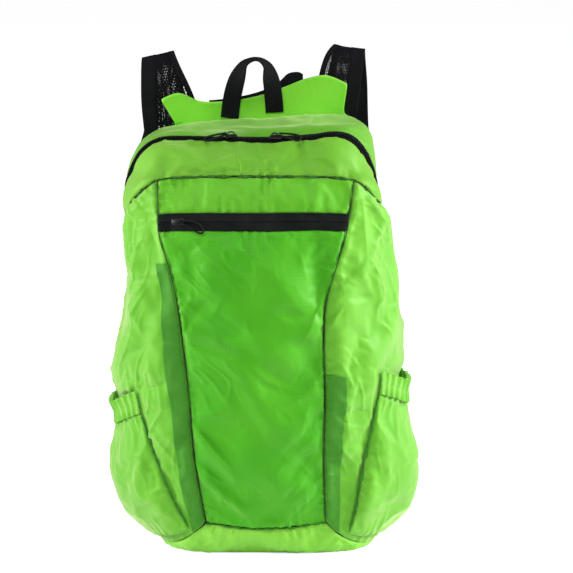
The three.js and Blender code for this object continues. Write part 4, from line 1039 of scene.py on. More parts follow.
def pucker(bm, height, reach, seed):
    """Moves fine cloth in and out near its border, in creases that fade into the panel. Gives
    each point's distance to the border, in millimetres."""
    uv = bm.loops.layers.uv.verify()
    border = [vert for vert in bm.verts if vert.is_boundary]
    tree = KDTree(len(border))
    runs = np.zeros(len(border))
    for i, vert in enumerate(border):
        tree.insert(vert.co, i)
        runs[i] = sum(vert.link_loops[0][uv].uv) * 1000
    tree.balance()
    aways = []
    for vert in bm.verts:
        _, i, away = tree.find(vert.co)
        away *= 1000
        aways.append(away)
        s = runs[i]
        far = reach * (1.05 + math.sin(s / 21 + seed) * math.sin(s / 8.3 + 2 * seed))
        swing = 2.4 * math.sin(s / 17 + seed)
        turn = 2 * math.pi * s / PUCKER_WAVE + swing + 0.1 * away * math.sin(s / 33 + seed)
        tall = height * (0.65 + 0.5 * math.sin(s / 19 + 3 * seed) + 0.4 * math.sin(s / 7.1))
        crest = math.sin(turn) - 0.35 * math.cos(2 * turn)
        lift = tall * crest * math.exp(-away / far) * smooth(away, 0, 2.5)
        vert.co += vert.normal * lift * 0.001
    return aways


# %% Sharp creases seen from the front: across, up, to across, to up, width and height in mm
CREASE_RISE = 1.4
BACK_FROM = 45
CREASES = [
    (-0.483, 0.543, -0.392, 0.506, 2.0, 0.9), (-0.462, 0.482, -0.329, 0.426, 2.6, 1.5),
    (-0.42, 0.321, -0.154, 0.221, 3.0, 2.2), (-0.392, 0.226, -0.196, 0.178, 3.0, 2.0),
    (-0.042, 0.479, 0.126, 0.425, 3.5, 1.0), (-0.217, 0.769, 0.252, 0.667, 6, 1.4),
    (0.308, 0.746, 0.371, 0.663, 4, 1.3), (-0.553, 0.705, -0.329, 0.634, 4, 1.4),
    (-0.511, 0.628, -0.238, 0.555, 5, 1.4), (0.462, 0.628, 0.308, 0.519, 5, 1.8),
    (0.511, 0.558, 0.609, 0.618, 4, 2.8), (0.672, 0.502, 0.63, 0.421, 5, -2.4),
    (0.595, 0.39, 0.651, 0.283, 4, 2.4), (-0.77, 0.329, -0.504, 0.207, 4, 2.2),
    (-0.875, 0.614, -0.763, 0.526, 5, 2.6), (0.728, 0.867, 0.77, 0.706, 6, 2.2),
    (-0.742, 0.789, -0.651, 0.716, 4, -1.8), (0.812, 0.716, 0.868, 0.57, 6, 2.8),
    (-0.168, 0.139, -0.028, 0.09, 4, 1.0), (0.042, 0.314, 0.308, 0.216, 7, 1.0),
    (0.378, 0.387, 0.28, 0.289, 5, 1.0), (-0.742, 0.489, -0.672, 0.368, 5, 2.2),
    (-0.56, 0.205, -0.448, 0.119, 3, 1.6),
]


def crease_lift(points):
    """Height of the sharp creases at many points, in millimetres."""
    lift = np.zeros(len(points))
    for across, up, to_across, to_up, width, height in CREASES:
        start = np.array([across * HALF_WIDTH, up * BAG_HEIGHT])
        run = np.array([to_across * HALF_WIDTH, to_up * BAG_HEIGHT]) - start
        place = points[:, [0, 2]] - start
        share = place @ run / (run @ run)
        bow = place - np.clip(share, 0, 1)[:, None] * run
        side = np.linalg.norm(bow, axis=1) / width
        fade = smooth(share, -0.1, 0.25) * (1 - smooth(share, 0.45, 1.15))
        lift += CREASE_RISE * height * np.exp(-side) * fade
    return lift


# %% Creases of handling, in soft noise that is drawn out along one direction
def crumple(bm, aways, lean, sharp, broad, seed):
    """lean is the way the creases run on the flat cloth, in degrees up from its right."""
    turn = math.radians(lean)
    pins = bm.verts.layers.float["held"]
    uv = bm.loops.layers.uv.verify()
    points = np.array([vert.co for vert in bm.verts]) * 1000 - MIDDLE
    lifts = crease_lift(points) * (points[:, 1] < BACK_FROM)
    for i, (vert, away) in enumerate(zip(bm.verts, aways)):
        x, z = vert.link_loops[0][uv].uv * 1000
        y, z = seed * 31, -z
        run = x * math.cos(turn) + z * math.sin(turn)
        across = z * math.cos(turn) - x * math.sin(turn)
        bend = 16 * noise.noise((run / 50, across / 50, seed))
        coarse = noise.noise((run / 75 + seed, (across + bend) / 34, y / 90))
        long_ridge = noise.noise((run / 40 - seed, (across + bend) / 15, y / 60 + 7.7))
        short_ridge = noise.noise(((run + bend) / 13 + seed, across / 34, y / 50 - 4.1))
        where = smooth(noise.noise((x / 60, z / 60, seed + 3.3)), -0.15, 0.35)
        ridge = (1 - min(abs(long_ridge) * 3.2, 1)) ** 2
        ridge += 0.3 * (1 - min(abs(short_ridge) * 3.6, 1)) ** 2
        soft = (broad * 2 * coarse + sharp * 1.6 * ridge * where) * smooth(away, 1, 12)
        free = (1 - min(vert[pins], 1) * smooth(away, 2, 6)) * smooth(0.455 - vert.co.z, 0, 0.045)
        vert.co += vert.normal * (soft + lifts[i] * smooth(away, 0, 4)) * free * 0.001


# %% Panels cut from the skin
TURNED_IN = 1.5
WALL = 0.7


def cut_panel(name, tag, material, nodes, lean, sharp, broad, gather):
    """One panel of the skin, made finer, puckered, creased and thickened."""
    bm = bmesh.new()
    bm.from_mesh(skin_mesh)
    tags = bm.faces.layers.int["panel"]
    bm.normal_update()
    bmesh.ops.delete(bm, geom=[face for face in bm.faces if face[tags] != tag], context="FACES")
    for vert in [vert for vert in bm.verts if vert.is_boundary]:
        inner = [edge.other_vert(vert).co for edge in vert.link_edges if not edge.is_boundary]
        drawn = (sum(inner, Vector()) / len(inner) - vert.co).normalized() if inner else Vector()
        vert.co += (drawn * 0.2 - vert.normal * TURNED_IN) * 0.001
    panel = finish_piece(name, bm, material, nodes)
    finer = panel.modifiers.new("subdivision", "SUBSURF")
    finer.levels = 1
    finer.render_levels = 1
    coarse = panel.data
    fine = bpy.data.meshes.new_from_object(panel.evaluated_get(bpy.context.evaluated_depsgraph_get()))
    panel.modifiers.clear()
    panel.data = fine
    fine.name = name
    bpy.data.meshes.remove(coarse)
    bm = bmesh.new()
    bm.from_mesh(fine)
    aways = pucker(bm, gather, 4 + 8 * gather, tag * 1.7)
    bm.normal_update()
    crumple(bm, aways, lean, sharp, broad, tag * 2.3)
    for vert in bm.verts:
        vert.co.z = max(vert.co.z, 0.0)
    bm.to_mesh(fine)
    bm.free()
    return thicken(panel, WALL)


# Each panel: its number, finish, CAD node, lean of its creases, sharp, broad and gathered creases.
PANELS = [
    ("front_cloth_upper", FRONT_UPPER, UPPER_GREEN_LIT, "front_panel_upper", -15, 0.7, 1.6, 0.8),
    ("front_cloth_lower", FRONT_LOWER, FRONT_GREEN_SHADED, "front_panel_lower", -50, 0.9, 3.4, 0.8),
    ("side_cloth_left", LEFT, SIDE_GREEN_PAINTED_SHEEN, "side_panel_left", -65, 1.3, 2.3, 0.9),
    ("side_cloth_right", RIGHT, SIDE_GREEN_PAINTED_SHEEN, "side_panel_right", -60, 1.3, 2.3, 0.9),
    ("top_cloth_front", TOP_FRONT, PALE_GREEN_LIT, "top_panel_front", 5, 0.5, 1.4, 0.6),
    ("top_cloth_rear", TOP_REAR, REAR_GREEN_SHADED, "top_panel_rear", 10, 0.5, 1.0, 0.5),
    ("base_cloth", BASE, BASE_GREEN_LIT, "base_panel", 0, 0.7, 1.0, 0.9),
    ("back_cloth", BACK, YOKE_GREEN_LIT, "back_panel", -25, 0.8, 1.4, 0.4),
    ("pocket_cloth_left", POCKET_LEFT, SIDE_GREEN_PAINTED_SHEEN, "side_pocket_left", -80, 0.7, 1.8, 0.8),
    ("pocket_cloth_right", POCKET_RIGHT, SIDE_GREEN_PAINTED_SHEEN, "side_pocket_right", 75, 0.7, 1.8, 0.8),
]
panels = {}
for name, tag, material, node, lean, sharp, broad, gather in PANELS:
    made = panels[name] = cut_panel(name, tag, material, [node], lean, sharp, broad, gather)
    print(made.name, len(made.data.polygons), "faces")

# %% Laying a piece on the settled cloth
SKIN_PANELS = (
    "front_cloth_upper", "front_cloth_lower", "side_cloth_left", "side_cloth_right", "top_cloth_front",
    "top_cloth_rear", "base_cloth",
)
skin_bm = bmesh.new()
for name in SKIN_PANELS:
    skin_bm.from_mesh(panels[name].data)
skin_tree = BVHTree.FromBMesh(skin_bm)
skin_bm.free()
RAY_START = 0.015


def laid_on(points, lift, ups=None):
    """Points moved to the bag's settled skin and lifted off it, each along its way up if one is
    given, or else to the nearest place."""
    lifts = np.broadcast_to(np.asarray(lift, float), len(points)) * 0.001
    moved, normals = [], []
    for i, (point, up) in enumerate(zip(points, lifts)):
        place = None
        if ups is not None:
            start = Vector(point + ups[i] * RAY_START)
            place, normal, _, _ = skin_tree.ray_cast(start, Vector(-ups[i]), 2 * RAY_START)
        if place is None:
            place, normal, _, _ = skin_tree.find_nearest(Vector(point))
        way = normal if ups is None else Vector(ups[i])
        moved.append(place + way * up)
        normals.append(way)
    return np.array(moved), np.array(normals)


# %% [markdown]
# ## Elastic hems
# The tops of the pockets are folded over elastic, which gathers the cloth into a ruffle. The
# ruffle is a wave in the band's height off the bag, uneven as real gathers are.

# %% Gathered hems
HEM_GATHERS = 12
HEM_THICK = 1.2


def hem_band(side):
    hem, front, foot, mouth, _ = POCKETS[side]

    def surface(across, up):
        depth = front + (POCKET_BACK - front) * across
        rise = HEM_RISE * np.maximum(1 - 2 * across, 0) - HEM_HEIGHT * (1 - up)
        along = along_at_height(side, depth, hem * BAG_HEIGHT + rise)
        opened = np.clip(np.sin(math.pi * across), 0, 1)
        turn = 2 * math.pi * (HEM_GATHERS * across + 0.45 * np.sin(9 * across + 0.8 * up))
        wave = np.sin(turn) - 0.4 * np.cos(2 * turn)
        ruffle = wave * opened**0.5 * (1.2 + 1.5 * np.abs(2 * up - 1) ** 1.5)
        channel = -0.7 * np.exp(-(((up - 0.5) / 0.07) ** 2))
        lift = mouth * opened**0.6 + ruffle + channel
        return in_frame(off_side(side, along, depth, CLOTH_LIFT + CLOTH + np.maximum(lift, 0)))

    return surface


for side in POCKETS:
    sheet_piece(
        f"hem_ruffle_{side}", (150, 14), [hem_band(side)], "ripstop_green", SIDE_GREEN_PAINTED_SHEEN, [f"pocket_hem_{side}"],
        HEM_THICK, subdivide=1,
    )
print("hems gathered")

# %% [markdown]
# ## Straps
# A strap is a wide lane of mesh between an outer band of webbing and a narrow inner binding. All
# three follow one line, so a strap is read as a place along it and a distance across it.

# %% The straps' line: outer and inner share across, behind, up, drop
STRAPS = {
    "left": [
        (0.79, 0.36, 0, 0.966, 0), (0.812, 0.45, 0.3, 1.05, 0), (0.812, 0.53, 4, 1.11, 0.16),
        (0.808, 0.575, 17, 1.143, 0.24), (0.805, 0.56, 31, 1.12, 0.14), (0.8, 0.52, 37, 1.06, 0),
        (0.795, 0.46, 36, 0.95, 0), (0.905, 0.49, 31, 0.82, 0), (0.9, 0.48, 26, 0.66, 0),
        (0.82, 0.47, 24, 0.5, 0), (0.73, 0.5, 22, 0.37, 0),
    ],
    "right": [
        (0.69, 0.33, 0, 0.966, 0), (0.725, 0.41, 0.3, 1.05, 0), (0.755, 0.475, 4, 1.13, 0.1),
        (0.768, 0.55, 17, 1.16, 0.14), (0.77, 0.54, 31, 1.14, 0.08), (0.785, 0.5, 37, 1.07, 0),
        (0.797, 0.46, 36, 0.95, 0), (0.84, 0.45, 31, 0.82, 0), (0.882, 0.46, 26, 0.7, 0),
        (0.82, 0.47, 24, 0.5, 0), (0.73, 0.5, 22, 0.37, 0),
    ],
}
OUTER_LANE = 15
INNER_LANE = 6
STRAP_FOLD = 1.2
STRAP_START = BACK_FACE + CLOTH + STRAP_FOLD + REST_GAP
WEBBING_EDGE = 0.4
LANE_STEPS = 200


class Strap:
    """A strap's middle line with its half width, and its directions across and off its face."""

    def __init__(self, side):
        self.way = -1.0 if side == "left" else 1.0
        rows = STRAPS[side]

        def edge(share):
            points = [
                (self.way * (i + (o - i) * share) * HALF_WIDTH, STRAP_START + b, u * BAG_HEIGHT)
                for o, i, b, u, _ in rows
            ]
            return flowing(points)

        middle, outer = edge(0.5), edge(1.0)
        half = np.linalg.norm(outer - middle, axis=1)
        drop = np.interp(np.linspace(0, 1, len(middle)), np.linspace(0, 1, len(rows)), [row[4] for row in rows])
        self.line = Line(np.column_stack([middle, half, drop]))

    def frame(self, along):
        row = self.line.at(along)
        run = self.line.run(along)
        across = np.stack([np.full(len(row), self.way), 0 * row[:, 4], -row[:, 4]], -1)
        across = unit(across - run * (across * run).sum(-1, keepdims=True))
        return row[:, :3], across, np.cross(across, run), row[:, 3]

    def lane(self, start, end):
        """A surface between two distances from the outer edge (start) and (end)."""

        def surface(a, b):
            centre, across, _, half = self.frame(b)
            place = half - (start(half) + (end(half) - start(half)) * a)
            return in_frame(centre + across * place[:, None])

        return surface


STRAP = {side: Strap(side) for side in STRAPS}
print("straps", [round(strap.line.length) for strap in STRAP.values()], "mm")

# %% Webbing and binding lanes
for side, strap in STRAP.items():
    outer_lane = strap.lane(lambda half: 0 * half, lambda half: 0 * half + OUTER_LANE)
    inner_lane = strap.lane(lambda half: 2 * half - INNER_LANE, lambda half: 2 * half)
    lanes = (("band", 6, outer_lane, "webbing"), ("edge", 4, inner_lane, "binding"))
    for name, steps, lane, node in lanes:
        sheet_piece(
            f"strap_{name}_{side}", (steps, LANE_STEPS), [lane], "webbing_black", BLACK_WEB,
            [f"strap_{node}_{side}"], WEBBING, bevel=WEBBING_EDGE,
        )

# %% Open mesh: hexagons, hollowed and bent onto the strap
NET_PITCH = 3.4
NET_WIRE = 2.6
NET_THICK = 0.9
NET_TUCK = 1.5
ROW_RISE = 0.866


def net_sheet(strap):
    """A flat net of hexagons in shares of the lane, then bent onto it."""
    wide = float(2 * strap.line.points[:, 3].mean() - OUTER_LANE - INNER_LANE)
    columns = int(round(wide / NET_PITCH))
    rows = int(round(strap.line.length / (NET_PITCH * ROW_RISE)))
    bm = bmesh.new()
    bmesh.ops.create_circle(bm, cap_ends=True, radius=NET_PITCH / math.sqrt(3), segments=6)
    cell = bpy.data.meshes.new("cell")
    bm.to_mesh(cell)
    bm.free()
    bm = bmesh.new()
    for _ in range(columns * rows):
        bm.from_mesh(cell)
    points = np.array([vert.co for vert in bm.verts]).reshape(rows, columns, 6, 3)
    turned = points[..., [1, 0, 2]].copy()
    row_numbers = np.arange(rows)[:, None, None]
    turned[..., 0] += (np.arange(columns)[None, :, None] + 0.5 * (row_numbers % 2)) * NET_PITCH
    turned[..., 1] += row_numbers * NET_PITCH * ROW_RISE
    flat = turned.reshape(-1, 3)
    for vert, point in zip(bm.verts, flat):
        vert.co = point
    bmesh.ops.remove_doubles(bm, verts=bm.verts, dist=0.02)
    made = bmesh.ops.inset_individual(bm, faces=bm.faces, thickness=NET_WIRE / 2)
    rims = set(made["faces"])
    bmesh.ops.delete(bm, geom=[face for face in bm.faces if face not in rims], context="FACES")
    flat = np.array([vert.co for vert in bm.verts])
    shares = (flat[:, :2] - flat[:, :2].min(0)) / np.ptp(flat[:, :2], axis=0)
    lane = strap.lane(
        lambda half: 0 * half + OUTER_LANE - NET_TUCK, lambda half: 2 * half - INNER_LANE + NET_TUCK,
    )
    uv = bm.loops.layers.uv.verify()
    for face in bm.faces:
        for loop in face.loops:
            loop[uv].uv = loop.vert.co.xy * 0.001
    for vert, point in zip(bm.verts, lane(shares[:, 0], shares[:, 1])):
        vert.co = point
    bmesh.ops.recalc_face_normals(bm, faces=bm.faces)
    return bm


for side, strap in STRAP.items():
    net = finish_piece(f"strap_net_{side}", net_sheet(strap), BLACK_NET, [f"strap_mesh_{side}"])
    thicken(net, NET_THICK, offset=0.0)
    print(net.name, len(net.data.polygons), "faces")

# %% [markdown]
# ## Buckles and the lower webbing
# The strap ends in a plain ladder buckle, and webbing runs from it down to the bottom corner. A
# moulded buckle is a flat plate with two slots, thickened and with every edge rounded.

# %% Ladder buckles
BUCKLE_ACROSS = np.array([-18, -13, 13, 18])
BUCKLE_DOWN = np.array([0, 4, 10, 14, 20, 24])
BUCKLE_LENGTH = 24
BUCKLE_THICK = 4
BUCKLE_TAPER = 0.08
SLOT_ROWS = (1, 3)


def buckle_plate(centre, across, run, normal):
    """A plate of a 3 by 5 grid whose inner cells are the two slots."""
    bm = bmesh.new()
    bmesh.ops.create_grid(bm, x_segments=3, y_segments=5, size=1)
    slots = []
    for face in bm.faces:
        middle = face.calc_center_median()
        if abs(middle.x) < 0.1 and round((middle.y + 1) * 2.5 - 0.5) in SLOT_ROWS:
            slots.append(face)
    bmesh.ops.delete(bm, geom=slots, context="FACES")
    for vert in bm.verts:
        x = BUCKLE_ACROSS[round((vert.co.x + 1) * 1.5)]
        y = BUCKLE_DOWN[round((vert.co.y + 1) * 2.5)]
        x = x * (1 - BUCKLE_TAPER * y / BUCKLE_LENGTH)
        vert.co = in_frame(centre + across * x + run * y + normal * (-BUCKLE_THICK / 2))
    walls = bmesh.ops.extrude_face_region(bm, geom=bm.faces[:])
    raised = [part for part in walls["geom"] if isinstance(part, bmesh.types.BMVert)]
    bmesh.ops.translate(bm, vec=Vector(normal) * (BUCKLE_THICK * 0.001), verts=raised)
    round_edges(bm, 0.0008, 3)
    return bm


# %% Both buckles, and the webbing from each to its bottom corner
LOWER_WIDTH = 25
for side, strap in STRAP.items():
    end = np.ones(1)
    centre = strap.line.at(end)[0, :3]
    run = strap.line.run(end)[0]
    across = unit(np.array([strap.way, 0, 0]) - run * strap.way * run[0])
    normal = np.cross(across, run)
    bm = buckle_plate(centre + run * REST_GAP, across, run, normal)
    finish_piece(f"buckle_{side}", bm, PLASTIC, [f"ladder_buckle_{side}"])

    start = centre + run * (2 * REST_GAP + BUCKLE_LENGTH)
    corner = RIM[side].at(0.985)[:3]
    foot = np.array([corner[0] - strap.way * LOWER_WIDTH / 2, STRAP_START + 2, corner[2] + LOWER_WIDTH / 2])
    middle = start + (foot - start) * 0.55 + np.array([strap.way * 3, 6, 0])
    web = Line(flowing([start, start + run * 6, middle, foot + np.array([0, 1, 20]), foot]))

    def web_surface(a, b, web=web, way=strap.way):
        ahead = web.run(b)
        sideways = unit(np.array([way, 0, 0]) - ahead * way * ahead[:, :1])
        return in_frame(web.at(b)[:, :3] + sideways * (LOWER_WIDTH * a - LOWER_WIDTH / 2)[:, None])

    sheet_piece(
        f"lower_band_{side}", (8, 60), [web_surface], "webbing_black", BLACK_WEB, [f"lower_webbing_{side}"],
        WEBBING, bevel=WEBBING_EDGE,
    )

# %% [markdown]
# ## Handle and yoke binding
# The handle is one length of webbing bent into a loop, so it turns edge on at its crown. The
# binding is the folded black edge that shows behind the yoke.

# %% Grab handle
HANDLE_PATH = [
    (-24, 0, -1, 0), (-21, 2, 22, 5), (-15, 7, 44, 35), (-6, 10, 60, 75), (5, 11, 64, 90), (14, 10, 58, 110),
    (19.5, 7.5, 42, 150), (22.5, 2.4, 20, 175), (23.5, 0, 5, 180),
]
HANDLE_WIDTH = 19
HANDLE_ASIDE = 4
handle_plane = BACK_FACE - REST_GAP - WEBBING / 2
handle_rows = flowing([(a - HANDLE_ASIDE, handle_plane - f, BAG_HEIGHT + h) for a, f, h, _ in HANDLE_PATH])
handle_turn = np.interp(
    np.linspace(0, 1, len(handle_rows)), np.linspace(0, 1, len(HANDLE_PATH)), [row[3] for row in HANDLE_PATH]
)
handle_line = Line(np.column_stack([handle_rows, handle_turn]))


def handle_surface(a, b):
    row, run = handle_line.at(b), handle_line.run(b)
    angle = np.radians(row[:, 3])
    across = np.stack([np.cos(angle), -np.sin(angle), 0 * angle], -1)
    across = unit(across - run * (across * run).sum(-1, keepdims=True))
    return in_frame(row[:, :3] + across * (HANDLE_WIDTH * a - HANDLE_WIDTH / 2)[:, None])


sheet_piece(
    "handle_loop", (8, 90), [handle_surface], "webbing_black", BLACK_WEB, ["grab_handle"], WEBBING,
    bevel=WEBBING_EDGE,
)

# %% Yoke binding: share across, height above the edge
BINDING = [(-0.33, 0.1), (-0.05, 0.24), (0.12, 0.42), (0.23, 1), (0.29, 0.8), (0.33, 0.4)]
BINDING_RISE = 12
BINDING_FOOT = BAG_HEIGHT + 0.38 * YOKE_RISE - 14
binding_line = flowing(BINDING)


def binding_surface(a, b):
    steps = np.linspace(0, 1, len(binding_line))
    across = np.interp(a, steps, binding_line[:, 0]) * HALF_WIDTH
    height = np.interp(a, steps, binding_line[:, 1]) * BINDING_RISE
    top = np.interp(across, yoke_edge.points[:, 0], yoke_edge.points[:, 2]) + height
    depth = BACK_FACE + CLOTH + REST_GAP + WEBBING / 2
    return in_frame(np.stack([across, 0 * across + depth, BINDING_FOOT + (top - BINDING_FOOT) * b], -1))


sheet_piece(
    "yoke_edge", (60, 10), [binding_surface], "webbing_black", BLACK_WEB, ["yoke_binding"], WEBBING,
    bevel=WEBBING_EDGE,
)
print("handle and binding made")

# %% [markdown]
# ## Zips
# The pocket zip is a reversed coil under a coated tape, so only two smooth halves that meet show.
# The main zip shows its teeth between two strips of woven tape.

# %% Zip tapes
def tape_half(surface, start, end, lift, away):
    def laid(a, b):
        side = start + (end - start) * b
        place = surface(a, side)
        normal = outward(surface, a, side, away(a))
        return in_frame(place + normal * np.broadcast_to(lift(side), a.shape)[:, None])

    return laid


def forward(a):
    return np.broadcast_to(FORWARD, (len(a), 3))


def upward(a):
    return np.stack([2 * a - 1, 0 * a - 0.4, 0 * a + 1], -1)


def coated_lift(share):
    """The coated tape swells over the coil in its middle."""
    return 0.1 + 0.55 * np.exp(-(((share - 0.5) / 0.2) ** 2))


def woven_lift(share):
    return 0 * share + 0.1


pocket_halves = [tape_half(pocket_zip, *ends, coated_lift, forward) for ends in ((-0.06, 0.485), (0.515, 1.06))]
sheet_piece("pocket_zip", (90, 10), pocket_halves, "zip_tape", COATED, ["pocket_zip_tape"], 0.9, bevel=0.25)
main_halves = [tape_half(main_zip, *ends, woven_lift, upward) for ends in ((-0.05, 0.44), (0.56, 1.05))]
sheet_piece("main_zip", (120, 4), main_halves, "zip_tape", ZIP_WEAVE, ["main_zip_tape"], 1.0, bevel=0.25)

# %% Many small copies of one shape
def repeated(name, unit_bm, places, material, nodes=()):
    """places are rows of centre, x, y and z directions already scaled, all in metres."""
    cell = bpy.data.meshes.new("unit")
    unit_bm.to_mesh(cell)
    unit_bm.free()
    size = len(cell.vertices)
    bm = bmesh.new()
    for _ in places:
        bm.from_mesh(cell)
    shape = np.array([vert.co for vert in cell.vertices])
    moved = []
    for centre, x, y, z in places:
        moved.append(centre + shape[:, :1] * x + shape[:, 1:2] * y + shape[:, 2:] * z)
    for vert, point in zip(bm.verts, np.vstack(moved)):
        vert.co = point
    print(name, len(places), "copies of", size, "points")
    return finish_piece(name, bm, material, nodes)


# %% Main zip's teeth, in millimetres
TEETH_READ = 401
TOOTH_PITCH = 1.5
TOOTH_ASIDE = 0.8
TOOTH_LIFT = 0.9


def rounded_block(bevel):
    bm = bmesh.new()
    bmesh.ops.create_cube(bm, size=1)
    bmesh.ops.bevel(bm, geom=bm.edges[:], offset=bevel, segments=1, profile=0.5, affect="EDGES", material=-1)
    return bm


teeth = []
zip_length = np.linspace(0.012, 0.988, TEETH_READ)
rows = main_zip(zip_length, np.full(TEETH_READ, 0.5))
tooth_line = Line(np.column_stack([rows, zip_length]))
count = int(tooth_line.length / TOOTH_PITCH)
for i in range(count):
    share = np.array([(i + 0.5) / count])
    along = tooth_line.at(share)[:, 3]
    half = np.array([0.5])
    normal = outward(main_zip, along, half, upward(along))[0]
    run = tooth_line.run(share)[0]
    across = np.cross(normal, run)
    side = TOOTH_ASIDE if i % 2 else -TOOTH_ASIDE
    place = tooth_line.at(share)[0, :3] + normal * (REST_GAP + TOOTH_LIFT) + across * side
    centre = in_frame(place)
    teeth.append((centre, run * 0.0012, across * 0.0034, normal * 0.0018))
repeated("main_zip_teeth", rounded_block(0.2), teeth, TEETH, ["main_zip_coil"])

# %% Sliders: a tapered body, a bridge and rounded edges
BRIDGE_ARCH = [
    (-3.4, 1.3), (-3.5, 3.0), (-3.0, 4.4), (-1.6, 5.2), (0, 5.4), (1.6, 5.2), (3.0, 4.4), (3.5, 3.0),
    (3.4, 1.3),
]


def slider_body(name):
    centre, pull, normal, side = slider_frame(name)
    bm = bmesh.new()
    bmesh.ops.create_cube(bm, size=1)
    long_edges = [edge for edge in bm.edges if abs(edge.verts[0].co.x - edge.verts[1].co.x) > 0.5]
    bmesh.ops.subdivide_edges(bm, edges=long_edges, cuts=3, use_grid_fill=True)
    for vert in bm.verts:
        x = vert.co.x
        waist = 1 - 0.34 * smooth(-x, 0.05, 0.5) - 0.08 * (1 - min(abs(x) * 4, 1))
        high = 0.0 if vert.co.z < 0 else 1.0
        height = high * SLIDER_HEIGHT * (1 - 0.3 * smooth(abs(x), 0.3, 0.5))
        width = SLIDER_WIDTH * vert.co.y * waist
        vert.co = in_frame(centre + pull * (SLIDER_LENGTH * x) + side * width + normal * height)
    round_edges(bm, 0.0004, 2)
    rows = flowing([centre + pull * x + normal * z for x, z in BRIDGE_ARCH], steps=4)
    ups = np.broadcast_to(pull, rows.shape) + 0.001
    lay_tube(bm, in_frame(rows), 0.00055, ups, sides=8, wide=2.6)
    return bm


for name in SLIDERS:
    finish_piece(f"zip_slider_{name}", slider_body(name), METAL, [f"slider_{name}"])
print("sliders made")

# %% [markdown]
# ## Tapes and piped seams
# Green grosgrain runs beside the front seams, laid on the settled cloth. The seams themselves
# stand up as narrow rolled edges, puckered by their thread, and their dark colour is painted
# shadow of the folds along them.

# %% Grosgrain beside the front seams
TAPE_FROM = {"left": 0.24, "right": 0.56}
TAPE_DEPTH = (0.84 - MAIN_ZIP_HALF) / 6
TAPE_LIFT, TAPE_THICK, STITCH_LIFT = 0.9, 0.8, 1.4


def seam_strip(side, along, depth, lift):
    """Points beside a front seam, laid on the settled cloth, and their way up."""
    ups = outward(lambda c, d: side_point(side, c, d), along, depth, FORWARD)
    return laid_on(in_frame(side_point(side, along, depth)), lift, ups)


for side, start in TAPE_FROM.items():
    def tape_surface(a, b, side=side, start=start):
        along = start + (0.995 - start) * b
        return seam_strip(side, along, TAPE_DEPTH * (0.08 + 0.78 * a), TAPE_LIFT)[0]

    sheet_piece(
        f"grosgrain_{side}", (8, 120), [tape_surface], "grosgrain_green", TAPE_GREEN, [f"seam_tape_{side}"],
        TAPE_THICK, bevel=0.2,
    )

# %% Rolled seams, coloured dark as painted shadow of their folds
def rolled_seam(name, points, ups, thick, seed, swing=0.35, uneven=0.2, material=SEAM_SHADOW_GREEN):
    """A narrow roll of cloth along a seam, pinched and swung by its thread, coloured as painted shadow of its
    fold.
    """
    share = np.linspace(0, 1, len(points))
    length = np.linalg.norm(np.diff(points, axis=0), axis=1).sum()
    turn = share * length * 0.45
    wave = np.sin(turn + 2.2 * np.sin(turn / 5 + seed)) + 0.6 * np.sin(turn * 0.43 + seed)
    run = unit(np.gradient(points, axis=0))
    side = unit(np.cross(run, ups))
    swung = ups * (swing * wave[:, None]) + side * (0.7 * swing * np.roll(wave, 3)[:, None])
    path = in_frame(points + swung)
    ends = 0.15 + 0.85 * smooth(share, 0, 0.02) * smooth(1 - share, 0, 0.02)
    bm = bmesh.new()
    lay_tube(bm, path, thick * 0.001 * (1 + uneven * wave) * ends, ups, sides=10)
    return finish_piece(name, bm, material)


for side in ("left", "right"):
    share = np.linspace(0.0, 1.0, 260)
    points = SEAM[side].at(share) + leaving(side, share) * 0.2
    points[:, 1] -= 0.1
    rolled_seam(f"rolled_seam_{side}", points, np.broadcast_to(FORWARD, points.shape), 0.55, 1.0, 0.15)
# The top and bottom rolls are dark as painted shadow under the panel edge that overhangs each.
share = np.linspace(0.0, 1.0, 200)
for edge, thick, material in (("top", 0.9, SEAM_SHADOW_GREEN), ("bottom", 0.7, EDGE_SHADOW_GREEN)):
    points = front_edge(edge, share)
    points[:, 1] -= 0.2
    ups = np.broadcast_to(FORWARD, points.shape)
    rolled_seam(f"rolled_seam_{edge}", points, ups, thick, 2.0, 0.6, 0.45, material)
for side in ("left", "right"):
    share = np.linspace(0.0, 0.9, 200)
    points, ups = laid_on(in_frame(side_point(side, 0 * share, share)), 0.0)
    rolled_seam(f"rolled_seam_corner_{side}", points * 1000 - MIDDLE, ups, 0.8, 3.0, 0.9, 0.4)
    # A dark roll along the pocket's front edge: painted shadow line where the pocket meets the side.
    share = np.linspace(0.02, 0.98, 160)
    points = pocket_cloth(side)(0 * share, share) * 1000 - MIDDLE
    ups = outward(lambda a, b, side=side: side_point(side, b, a), 0 * share + 0.25, 1 - share, FORWARD)
    rolled_seam(f"painted_shadow_pocket_edge_{side}", points, ups, 0.9, 4.0, 0.3, 0.3, EDGE_SHADOW_GREEN)

# %% The joining seam down the middle of the top
JOIN_AT = 0.43
share = np.linspace(0.03, 0.97, 60)
joined = in_frame(side_point("top", 0 * share + JOIN_AT, share * (zip_depth(JOIN_AT) - MAIN_ZIP_HALF)))
points, ups = laid_on(joined, -0.1)
bm = bmesh.new()
lay_tube(bm, points, 0.00045, ups, sides=6, wide=2.0)
finish_piece("top_join", bm, PALE_GREEN_LIT)
print("tapes and seams made")

# %% [markdown]
# ## Stitches
# Thread is what holds the bag together, so it shows along each tape and zip. A stitch is a small
# flattened bead, repeated along a line that is laid on the piece that it holds.

# %% Rows of stitches
STITCH_PITCH = 3.2
STITCH_LONG = 2.2
STITCH_READ = 160
STRAP_READ = 300


